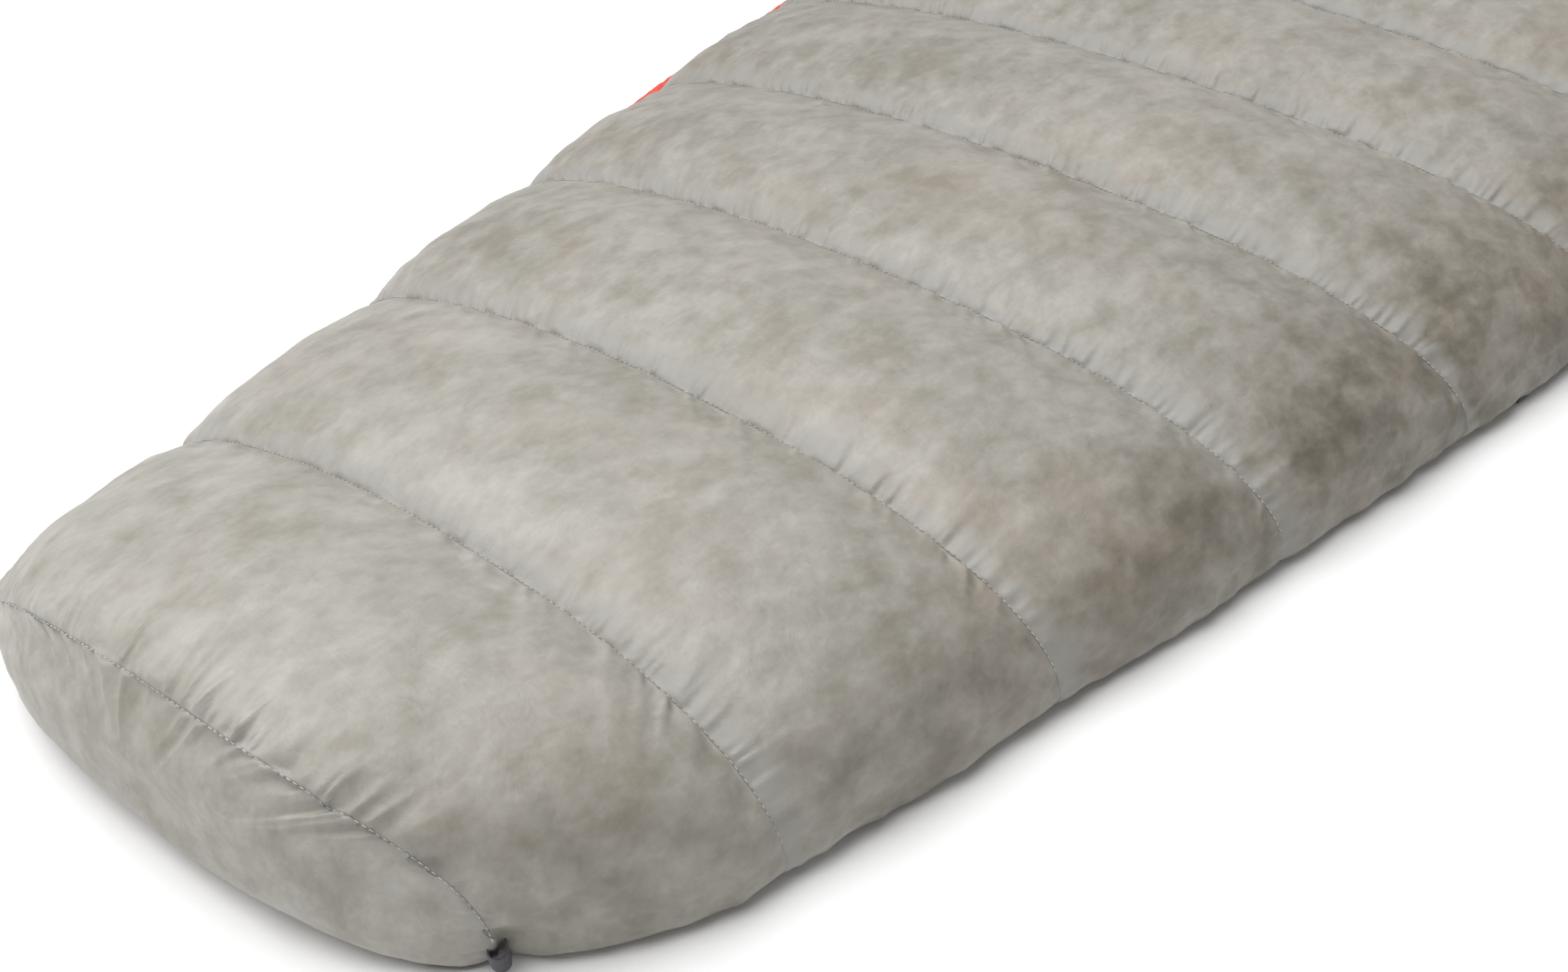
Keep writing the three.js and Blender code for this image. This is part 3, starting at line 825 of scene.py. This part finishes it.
def panel_relief(around, from_rim, turn, x, z, share):
    """Gathers in from the rim, more of them along the top, and lumps over the middle of the panel."""
    upper = smooth(np.sin(turn) * 2 + 0.7)
    relief = gathers(around, from_rim, PANEL_SEED, PANEL_PUCKERS) * upper
    relief += 0.5 * pucker(around, from_rim, PANEL_SEED + 2, 1.5, 12, 14)
    lumps = 1.6 * layered(x / 48, z / 40, 35, 3) + 0.3 * layered(x / 9, z / 9, 36, 2)
    relief += lumps * smooth(from_rim / PANEL_CALM)
    return relief * smooth((share - 0.3) / 0.4)


def foot_panel():
    share = (1 - (1 - np.linspace(0, 1, PANEL_RINGS + 1)) ** 1.6)[1:, None]
    turn = full_turn(PANEL_SIDES)[None]
    rim = panel_rim(turn)[0]
    arc = arc_along(rim)
    middle = np.array([rim[:, 0].mean(), 0, PANEL_MIDDLE])

    def towards_middle(at_share):
        x = middle[0] + (rim[None, :, 0] - middle[0]) * at_share
        z = middle[2] + (rim[None, :, 2] - middle[2]) * at_share
        return x, z

    def ring_at(at_x):
        return ring_station(np.clip(at_x / half_width(CORNER_STATION, at_x), -1, 1))

    def behind(at_x, at_share):
        return ring_at(at_x) + (rim[None, :, 1] - ring_at(rim[None, :, 0])) * at_share ** 2

    x, z = towards_middle(share)
    ahead = PANEL_BULGE * (1 - share ** 2.6) + PANEL_SHOULDER * np.sin(np.pi * share) ** 2
    grid = xyz(x, behind(x, share) - ahead, z)
    along = np.roll(grid, -1, 1) - np.roll(grid, 1, 1)
    out = np.cross(np.gradient(grid, axis=0), along)
    out /= np.maximum(np.linalg.norm(out, axis=-1, keepdims=True), 1e-9)
    out *= np.where(out[..., 1:2] > 0, -1, 1)
    from_rim = np.linalg.norm(grid - rim[None], axis=-1)
    relief = panel_relief(arc[None] + 0 * share, from_rim, turn, x, z, share)
    grid = grid + out * relief[..., None]
    grid[..., 2] = np.maximum(grid[..., 2], 0.3)
    grid = clear_of_loop(grid)
    centre = grid[0].mean(0)
    back_share = np.linspace(1, BACK_MIDDLE, BACK_RINGS)[:, None]
    back_x, back_z = towards_middle(back_share)
    back = xyz(back_x, behind(back_x, back_share) + BACK_GAP, back_z)[1:]
    points = np.concatenate([centre[None], grid.reshape(-1, 3), back.reshape(-1, 3)])
    rows = PANEL_RINGS + len(back)
    faces = [[1 + k, 1 + (k + 1) % PANEL_SIDES, 0] for k in range(PANEL_SIDES)]
    faces += grid_faces(rows, PANEL_SIDES, 1, wrap=True)
    faces.append([1 + (rows - 1) * PANEL_SIDES + k for k in range(PANEL_SIDES)])
    clear = (PANEL_CLEAR * bell(from_rim, PANEL_CLEAR_WIDTH)).ravel()
    clear = np.concatenate([[0], clear, np.zeros(back.size // 3)])
    # The whole end panel carries the same painted shade.
    piece = add_piece("foot_end_panel", (points, faces), SHELL,
                      replaces=("foot_panel_shell", "foot_panel_down"),
                      values={"clear": clear, "painted_shade": np.full(len(points), PANEL_PAINTED_SHADE)})
    return rim


def seam_over_panel(rim):
    """The rim's upper half without its ends, a little proud of the panel."""
    return rim[5:PANEL_SIDES // 2 - 5] + np.array([0, -0.4, 0])


stitches("foot_seam_stitches", seam_over_panel(foot_panel()), "quilt_body")


# ---- bottom layer
UNDER_ROWS = 28
UNDER_COLUMNS = 150
UNDER_BEND = 26
UNDER_RADIUS = 6.7
UNDER_TOP = 13.4
UNDER_LEFT_INSET = 1.2
UNDER_RIGHT_INSET = FILL_DEPTH + 1.5
UNDER_SWELL = 1.6
UNDER_EDGE = 0.1
UNDER_CLEAR = 0.5
UNDER_CLEAR_WIDTH = 10
SEAM_PULL = 1.6
SEAM_PULL_POWER = 6


def chamber_share(q, last):
    """How far q is through its chamber. A part's last row counts as the end of its chamber."""
    return q - np.floor(np.minimum(q, last - 1e-6))


def bottom_layer(part, first, last):
    """Underside shell with seam valleys on its edges, and rounded sides."""
    q = first + (last - first) * np.linspace(0, 1, (last - first) * UNDER_ROWS + 1)[:, None]
    f = chamber_share(q, last)
    # The loop of columns: flat top from left to right, round right edge, underside, round left edge.
    flat = np.linspace(-1, 1, UNDER_COLUMNS)
    level = np.zeros(UNDER_COLUMNS)
    bend = np.linspace(0, np.pi, UNDER_BEND)[1:-1]
    side = np.concatenate([flat, np.ones(len(bend)), flat[::-1], -np.ones(len(bend))])
    out = np.concatenate([level, np.sin(bend), level, np.sin(bend)])
    height = np.concatenate([
        level + UNDER_TOP,
        UNDER_RADIUS + UNDER_RADIUS * np.cos(bend),
        level,
        UNDER_RADIUS - UNDER_RADIUS * np.cos(bend),
    ])
    side, out, height = side[None], out[None], height[None]
    station = width_station(q)
    swell = chamber_puff(f)
    reach = np.where(side < 0, left_edge(station) - UNDER_LEFT_INSET, half_width(station) - UNDER_RIGHT_INSET)
    reach = reach - UNDER_RADIUS
    edge = smooth((np.abs(side) - 1 + UNDER_EDGE) / UNDER_EDGE)
    x = side * reach + np.sign(side) * out * (UNDER_RADIUS + UNDER_SWELL * swell - 1.0)
    x = x + np.sign(side) * out * 0.7 * ridge(station / 9, height / 30, 71)
    seam_pull = SEAM_PULL * (1 - swell) ** SEAM_PULL_POWER
    below, above = height < 2, height > 12
    rumple = 0.5 * (0.5 + 0.5 * layered(x / 40, station / 30, 77, 2)) * (1 - edge)
    z = height + np.where(below, seam_pull, 0.0) - np.where(above, 0.25 * seam_pull * edge, 0)
    z = z + np.where(below, rumple, 0)
    y = station_at(q, np.clip(x / reach, -1, 1))
    shape = tube(xyz(x, y, z)[:, ::-1])
    clear = UNDER_CLEAR * bell(f * PITCH, UNDER_CLEAR_WIDTH) + 0 * x
    replaced = [f"shell_bottom_{part}"] + [f"down_bottom_{c:02d}" for c in range(first + 1, last + 1)]
    piece = add_piece(f"bottom_layer_{part}", shape, SHELL, replaces=replaced,
                      values={"clear": clear[:, ::-1]}, bend=True)


bottom_layer("foot", 0, FOLD_SEAM)
bottom_layer("head", FOLD_SEAM, CHAMBERS)


# ---- linings
TOP_LINING_ROWS = 14
TOP_LINING_START = 0.04
TOP_LINING_STEP = 5
TOP_LINING_SAG = 2.0
TOP_LINING_SPAN = (1.5, 2.3)
BOTTOM_LINING_ROWS = 32
BOTTOM_LINING_COLUMNS = 151
BOTTOM_LINING_INSET = 18
BOTTOM_LINING_LEVEL = 13.7
BOTTOM_LINING_OVER = 0.5
BOTTOM_LINING_THICK = 0.7
SHOWING = 1.2
SHOWING_MORE = 2.2
SHOWING_MOST_AT = 685
SHOWING_RUN = 45
TUCKED = 2.0
PARTING_FOOT = 515
PARTING_FOOT_RUN = 50
PARTING_HEAD = 965
PARTING_HEAD_RUN = 65


def top_lining(part, first, last):
    """The top layer's inside fabric, from the left edge to the right, sagging a little between the seams."""
    rows = (last - first) * TOP_LINING_ROWS
    q = np.linspace(first + (TOP_LINING_START if first == 0 else 0.0), last, rows + 1)[:, None]
    u, arc = even_columns((first + last) / 2, TOP_LINING_STEP)
    puff = chamber_puff(chamber_share(q, last))
    sag = TOP_LINING_SAG * (1 - puff) * np.sin(np.pi * u) + 0.5 * ridge(arc / 16, q * 3, 81)
    outer, inner = [section(q, u, LINING_DEPTH + depth - sag) for depth in TOP_LINING_SPAN]
    shape = slab(outer, inner)
    piece = add_piece(f"top_lining_{part}", shape, LINING,
                      replaces=(f"lining_top_{part}",), bend=True)


def zip_parting(station):
    """0 where the two sides of the zip meet, 1 where they are apart."""
    opens = smooth((station - PARTING_FOOT) / PARTING_FOOT_RUN)
    return opens * smooth((PARTING_HEAD - station) / PARTING_HEAD_RUN)


def bottom_lining(part, first, last):
    """The bottom layer's inside fabric. It shows beyond the left edge where the zip is open."""
    q = np.linspace(first, last, (last - first) * BOTTOM_LINING_ROWS + 1)[:, None]
    side = np.linspace(-1, 1, BOTTOM_LINING_COLUMNS)[None]
    station = width_station(q)
    out = edge_share(station)
    parted = zip_parting(station)
    most = np.exp(-((station - SHOWING_MOST_AT) / SHOWING_RUN) ** 2)
    showing = (SHOWING + SHOWING_MORE * most) * parted - TUCKED * (1 - parted)
    left = (half_width(station, -1) - BOTTOM_LINING_INSET) * (1 - out) + (left_edge(station) + showing) * out
    reach = np.where(side < 0, left, half_width(station) - BOTTOM_LINING_INSET)
    x = side * reach
    near = smooth(1 - (reach - np.abs(x)) / 20) * (side < 0)
    crest = 0.25 + 0.55 * (0.5 + 0.5 * ridge(station / 10, x / 50, 91))
    crest = crest + 0.8 * near * (0.5 + 0.5 * ridge(station / 8, 1.0, 92))
    z = BOTTOM_LINING_LEVEL + crest * chamber_puff(chamber_share(q, last)) ** 0.3
    y = station_at(q, np.clip(x / reach, -1, 1))
    outer = xyz(x, y, z + BOTTOM_LINING_OVER)
    inner = outer - np.array([0, 0, BOTTOM_LINING_THICK])
    shape = slab(outer, inner)
    piece = add_piece(f"bottom_lining_{part}", shape, LINING,
                      replaces=(f"lining_bottom_{part}",), bend=True)


for span in (("foot", 0, FOLD_SEAM), ("head", FOLD_SEAM, CHAMBERS)):
    bottom_lining(*span)
    top_lining(*span)


# ---- zip, hems, loops and snaps
CAD_EDGE_OUT = 17.0
COIL_OUT = 5.0
COIL_RADIUS = 1.0
COIL_PITCH = 2.0
COIL_STEPS = 8
COIL_START = 500
LOWER_COIL = 12.2
UPPER_COIL = 14.6
PARTED_COIL = 16.8
PARTED_OUT = 3.5
ZIP_ENDS = (520.0, 1880.0)
FOLD_STATION = FOLD_SEAM * PITCH
FOLD_GAP = 0.02
TAPE_STEP = 4
TAPE_THICK = 0.7
TAPE_RIPPLE = 0.4
TAPE_OVER_COIL = (0.9, 0.5)
TAPE_INSET = 1.4
TAPE_LOW = 4.4
TAPE_PROUD = -0.8
CLOSED_TAPE_U = 0.073
PARTED_TAPE_U = 0.016
PARTED_COIL_U = 0.02


STRAP_POWERS = (0.35, 0.7)
BAND_COLUMNS = 9


def ribbon(path, wide, width, thick, sides):
    """A strap: an oblong section carried along a path. wide is the direction across the strap."""
    wide = np.broadcast_to(np.asarray(wide, float), path.shape)
    ahead = np.gradient(path, axis=0)
    ahead = ahead / np.linalg.norm(ahead, axis=1, keepdims=True)
    wide = wide - ahead * (wide * ahead).sum(1, keepdims=True)
    wide = wide / np.linalg.norm(wide, axis=1, keepdims=True)
    out = np.cross(ahead, wide)
    angle = full_turn(sides)[None, :, None]
    across = signed_power(np.cos(angle), STRAP_POWERS[0]) * width / 2
    proud = signed_power(np.sin(angle), STRAP_POWERS[1]) * thick / 2
    return tube(path[:, None] + wide[:, None] * across + out[:, None] * proud)


def strip(first, second, thick, ripple):
    """A closed band between two edges, each a row of points. ripple is how far its middle stands out."""
    share = np.linspace(0, 1, BAND_COLUMNS)[None, :, None]
    middle = first[:, None] + (second - first)[:, None] * share
    ahead = np.gradient(middle, axis=0)
    out = np.cross(ahead, np.broadcast_to((second - first)[:, None], middle.shape))
    out = out / np.linalg.norm(out, axis=2, keepdims=True)
    middle = middle + out * ripple[:, None, None] * share * (1 - share) * 4
    return tube(np.concatenate([middle + out * thick / 2, (middle - out * thick / 2)[:, ::-1]], 1))


def cad_edge(station):
    """The left edge as the CAD has it, which the zip's closed stretch follows."""
    return left_edge(station) - (EDGE_OUT - CAD_EDGE_OUT) * edge_share(station)


def left_surface(station, u, inset):
    """Points on the top layer's left side, one for each station."""
    q = station / PITCH
    points = section(q, u, inset, chamber_puff(q - np.floor(q)))
    points[:, 1] = station
    return points


def coil_points(station, upper):
    """The coil's middle: beyond the edge where the zip is closed, on the top layer where it is open."""
    reach = COIL_OUT * smooth((station - COIL_START) / EDGE_RISE)
    together = xyz(-cad_edge(station) - reach, station, UPPER_COIL if upper else LOWER_COIL)
    if not upper:
        return together
    apart = left_surface(station, PARTED_COIL_U, 0.0) + np.array([-PARTED_OUT, 0, 0])
    apart[:, 2] = PARTED_COIL
    return together + (apart - together) * zip_parting(station)[:, None]


def zip_side(part, first, last, upper):
    """One side of the zip: its woven tape, and the coil as a fine helix along the tape's edge."""
    name = "upper" if upper else "lower"
    station = np.linspace(first, last, int((last - first) / TAPE_STEP) + 1)
    over, up = TAPE_OVER_COIL
    outer = coil_points(station, upper) + np.array([over, 0, up if upper else -up])
    if upper:
        parted = zip_parting(station)
        inner = left_surface(station, CLOSED_TAPE_U * (1 - parted) + PARTED_TAPE_U * parted, TAPE_PROUD)
    else:
        inner = xyz(-cad_edge(station) - TAPE_INSET, station, TAPE_LOW)
    shape = strip(inner, outer, TAPE_THICK, TAPE_RIPPLE * ridge(station / 9, 0.4, 201 + upper))
    add_piece(f"zip_tape_{name}_{part}_woven", shape, TAPE,
              replaces=(f"zip_tape_{name}_{part}",), bend=True)
    steps = np.arange(first * COIL_STEPS / COIL_PITCH, last * COIL_STEPS / COIL_PITCH)
    turns = steps * COIL_PITCH / COIL_STEPS
    angle = 2 * np.pi * turns / COIL_PITCH
    round_coil = xyz(np.cos(angle), 0, np.sin(angle)) * COIL_RADIUS
    wire = coil_points(turns, upper) + round_coil
    shape = ribbon(wire, (0.3, 1.0, 0.2), width=0.75, thick=0.65, sides=6)
    add_piece(f"zip_coil_{name}_{part}", shape, PLASTIC, bend=True)


for upper_side in (0, 1):
    zip_side("foot", ZIP_ENDS[0], FOLD_STATION - FOLD_GAP, upper_side)
    zip_side("head", FOLD_STATION + FOLD_GAP, ZIP_ENDS[1], upper_side)


LOOP_BEND_STEPS = 15
LOOP_LEG_STEPS = 8
FOOT_LOOP_DROOP = 0.9 / 132
MAT_LOOP_TURN = -0.13
MAT_LOOP_AT = (float(half_width(700.0)) - 7.0, 696.0, 2.1)


def loop_path(reach, opening, lead):
    """A strap's way out, round and back, in its own frame: x outwards and y across."""
    bend = np.linspace(-np.pi / 2, np.pi / 2, LOOP_BEND_STEPS)
    out = np.linspace(-lead, reach - opening, LOOP_LEG_STEPS + 1)[:-1]
    leg = np.full(LOOP_LEG_STEPS, opening)
    x = np.concatenate([out, reach - opening + opening * np.cos(bend), out[::-1]])
    y = np.concatenate([-leg, opening * np.sin(bend), leg])
    return x, y * (0.75 + 0.25 * smooth((x + lead) / reach))


def foot_loop(side, base, facing, middle):
    """A loop of webbing on edge, sewn in at a foot corner and drooping a little outwards."""
    x, y = loop_path(reach=11.5, opening=3.8, lead=5.0)
    outward = np.array([math.cos(facing), math.sin(facing), 0])
    across = np.array([-outward[1], outward[0], 0])
    path = np.array([*base, middle]) + x[:, None] * outward + y[:, None] * across
    path[:, 2] -= FOOT_LOOP_DROOP * np.maximum(x, 0) ** 2
    wide = np.array([0, 0, 1.0]) + 0.22 * outward - 0.1 * across
    shape = ribbon(path, wide, width=11.6, thick=1.2, sides=24)
    add_piece(f"foot_loop_{side}_woven", shape, WEBBING,
              replaces=(f"foot_loop_{side}",))


foot_loop("right", (141.9, 45.6), -math.pi / 4, 9.6)
foot_loop("left", (-180.5, 62.0), math.pi, 8.0)


def mat_loop():
    """A flat loop of webbing at the right edge, for a strap round a mat."""
    x, z = loop_path(reach=4.6, opening=1.15, lead=8.0)
    ahead = np.array([math.cos(MAT_LOOP_TURN), math.sin(MAT_LOOP_TURN), 0])
    path = np.array(MAT_LOOP_AT) + x[:, None] * ahead + z[:, None] * np.array([0, 0, 1.0])
    shape = ribbon(path, (-ahead[1], ahead[0], 0), width=11.8, thick=1.1, sides=24)
    add_piece("mat_loop_right_woven", shape, WEBBING, replaces=("mat_loop_right",))


mat_loop()

HEM_SIDES = 28
HEM_MIDDLE = LENGTH + 0.5
HEM_HALF_LENGTH = 3.1
HEM_POWERS = (0.45, 0.55)
HEM_GATHER = 0.35
HEM_STEP = 3.0
TOP_HEM_PROUD = -0.8
TOP_HEM_DEPTH = 21.4
BOTTOM_HEM_HEIGHT = 14.6
BOTTOM_HEM_CLEAR = 0.1
BOTTOM_HEM_COLUMNS = 260
BOTTOM_HEM_INSETS = (0.6, 2)


def binding(name, columns, point_at, replaced):
    """A soft bound hem round a raw edge. columns is the arc along it, point_at gives the points at a share of
    its depth."""
    angle = full_turn(HEM_SIDES)[None]
    share = 0.5 + 0.5 * signed_power(np.cos(angle), HEM_POWERS[0])
    y = HEM_MIDDLE + HEM_HALF_LENGTH * signed_power(np.sin(angle), HEM_POWERS[1])
    gather = HEM_GATHER * ridge(columns[:, None] / 7, share * 2, 301)
    points = point_at(share)
    points[..., 1] = y + gather * np.sign(np.sin(angle))
    shape = tube(points)
    add_piece(name, shape, TAPE, "head_end", replaces=(replaced,))


mouth_u, mouth_arc = even_columns(CHAMBERS, HEM_STEP)
mouth_left = -float(left_edge(LENGTH)) + BOTTOM_HEM_INSETS[0]
mouth_right = float(half_width(LENGTH)) - BOTTOM_HEM_INSETS[1]
mouth_x = np.linspace(mouth_left, mouth_right, BOTTOM_HEM_COLUMNS)


def top_hem_point(share):
    return section(float(CHAMBERS), mouth_u[:, None], TOP_HEM_PROUD + TOP_HEM_DEPTH * share)


def bottom_hem_point(share):
    return xyz(mouth_x[:, None], 0, np.maximum(BOTTOM_HEM_HEIGHT * share, BOTTOM_HEM_CLEAR))


binding("neck_hem_top_bound", mouth_arc, top_hem_point, "neck_hem_top")
binding("neck_hem_bottom_bound", mouth_x, bottom_hem_point, "neck_hem_bottom")


TAB_STATION = 1898.0
TAB_HINGE = -float(half_width(TAB_STATION))
TAB_SPAN = (1.6, 19)
TAB_STEPS = 24
TAB_HEIGHT = 20.0
TAB_WAVE = 0.25
CAP_INSET = 12
# The snap's cap, from its bottom: radius and height.
CAP_PROFILE = (
    (1.0, 18.1), (4.6, 18.1), (5.4, 18.6), (5.4, 20.6), (4.9, 21.2), (3.4, 21.5), (3.0, 21.2), (1.2, 21.1))


def lathe(centre, profile, sides):
    """A turned body from radius and height pairs, closed at both ends."""
    angle = full_turn(sides)
    rings = [
        [(centre[0] + r * math.cos(a), centre[1] + r * math.sin(a), z) for a in angle]
        for r, z in profile
    ]
    return tube(np.array(rings))


def neck_tab():
    x = np.linspace(TAB_HINGE - TAB_SPAN[0], TAB_HINGE - TAB_SPAN[1], TAB_STEPS)
    height = TAB_HEIGHT + TAB_WAVE * np.sin(np.linspace(0, 9, TAB_STEPS))
    path = xyz(x, TAB_STATION, height)
    shape = ribbon(path, (0, 1, 0), width=19.6, thick=1.2, sides=28)
    add_piece("neck_tab_strap", shape, WEBBING, "neck_tab", replaces=("neck_tab",))
    shape = lathe((TAB_HINGE - CAP_INSET, TAB_STATION), CAP_PROFILE, sides=36)
    add_piece("neck_tab_cap", shape, METAL, "neck_tab")


neck_tab()

DISC_SIDES = 180
DISC_RINGS = 18
DISC_HOLE = 0.05
DISC_FLOOR = 16.0
DISC_MIDDLE = 42.0
DISC_STATION = 26.0
DISC_DISH = 4
DISC_THICK = 0.7


def panel_lining():
    """The footbox's end inside: the same red fabric, as a shallow dished disc."""
    turn = full_turn(DISC_SIDES)[None]
    rim = panel_rim(turn, LINING_DEPTH + 3.0)[0]
    rim[:, 2] = np.maximum(rim[:, 2], DISC_FLOOR)
    share = np.linspace(1, DISC_HOLE, DISC_RINGS)[:, None]
    x = rim[None, :, 0] * share
    z = DISC_MIDDLE + (rim[None, :, 2] - DISC_MIDDLE) * share
    y = DISC_STATION + 0.4 * rim[None, :, 1] * share ** 2 - DISC_DISH * (1 - share ** 2)
    y = y + 0.4 * ridge(x / 9, z / 9, 401)
    front = xyz(x, y, z)
    back = front[::-1] + np.array([0, DISC_THICK, 0])
    shape = tube(np.concatenate([front, back]))
    piece = add_piece("foot_panel_lining_cloth", shape, LINING,
                      replaces=("foot_panel_lining",))


panel_lining()

for node, finish in (("zip_slider", METAL), ("zip_puller", WEBBING), ("neck_stud", METAL)):
    for material_slot in bpy.data.objects[node].material_slots:
        material_slot.material = finish


# ---- light and floor
AMBIENT = 0.16
KEY_STRENGTH = 3.18
KEY_SPREAD = 70.0
SOFTBOX_POWER = 2.2
SOFTBOX_AT = (-0.25, -1.0, 0.95)
SOFTBOX_AIM = (0.0, -0.8, 0.0)
KEY_FROM = (-0.3, -0.1, 0.9)


FLOOR_SIZE = 40
FLOOR_CORNERS = [(-1, -1), (1, -1), (1, 1), (-1, 1)]
SOFTBOX_SIZE = 0.9
HORIZON = 0.12
OVERHEAD = 0.4
HORIZON_WHITE = 0.97


def add_floor():
    mesh = bpy.data.meshes.new("floor")
    corners = [(x * FLOOR_SIZE, y * FLOOR_SIZE, 0) for x, y in FLOOR_CORNERS]
    mesh.from_pydata(corners, [], [(0, 1, 2, 3)])
    mesh.materials.append(floor_material())
    floor = add_object("floor", mesh)


def add_surroundings():
    """A soft surround: white at the horizon, and dim overhead so that the key light shapes the cloth."""
    world = bpy.data.worlds.new("studio")
    world.use_nodes = True
    nodes, links = world.node_tree.nodes, world.node_tree.links
    background = nodes["Background"]
    background.inputs["Strength"].default_value = 1.0
    coordinates = nodes.new("ShaderNodeTexCoord")
    split = nodes.new("ShaderNodeSeparateXYZ")
    ramp = nodes.new("ShaderNodeValToRGB")
    stops = ((HORIZON, HORIZON_WHITE), (OVERHEAD, AMBIENT))
    for element, (position, value) in zip(ramp.color_ramp.elements, stops):
        element.position = position
        element.color = (value, value, value, 1)
    links.new(coordinates.outputs["Generated"], split.inputs[0])
    links.new(split.outputs["Z"], ramp.inputs["Fac"])
    links.new(ramp.outputs["Color"], background.inputs["Color"])
    bpy.context.scene.world = world


def add_light(name, kind, energy, back):
    data = bpy.data.lights.new(name, kind)
    data.energy = energy
    light = add_object(name, data)
    look_along(light, back)
    return light


def add_studio():
    add_floor()
    add_surroundings()
    key = add_light("key", "SUN", KEY_STRENGTH, KEY_FROM)
    key.data.angle = math.radians(KEY_SPREAD)
    softbox = add_light("foot_softbox", "AREA", SOFTBOX_POWER, Vector(SOFTBOX_AT) - Vector(SOFTBOX_AIM))
    softbox.data.shape = "RECTANGLE"
    softbox.data.size = softbox.data.size_y = SOFTBOX_SIZE
    softbox.location = SOFTBOX_AT
    bpy.context.scene.view_settings.view_transform = "Standard"


add_studio()
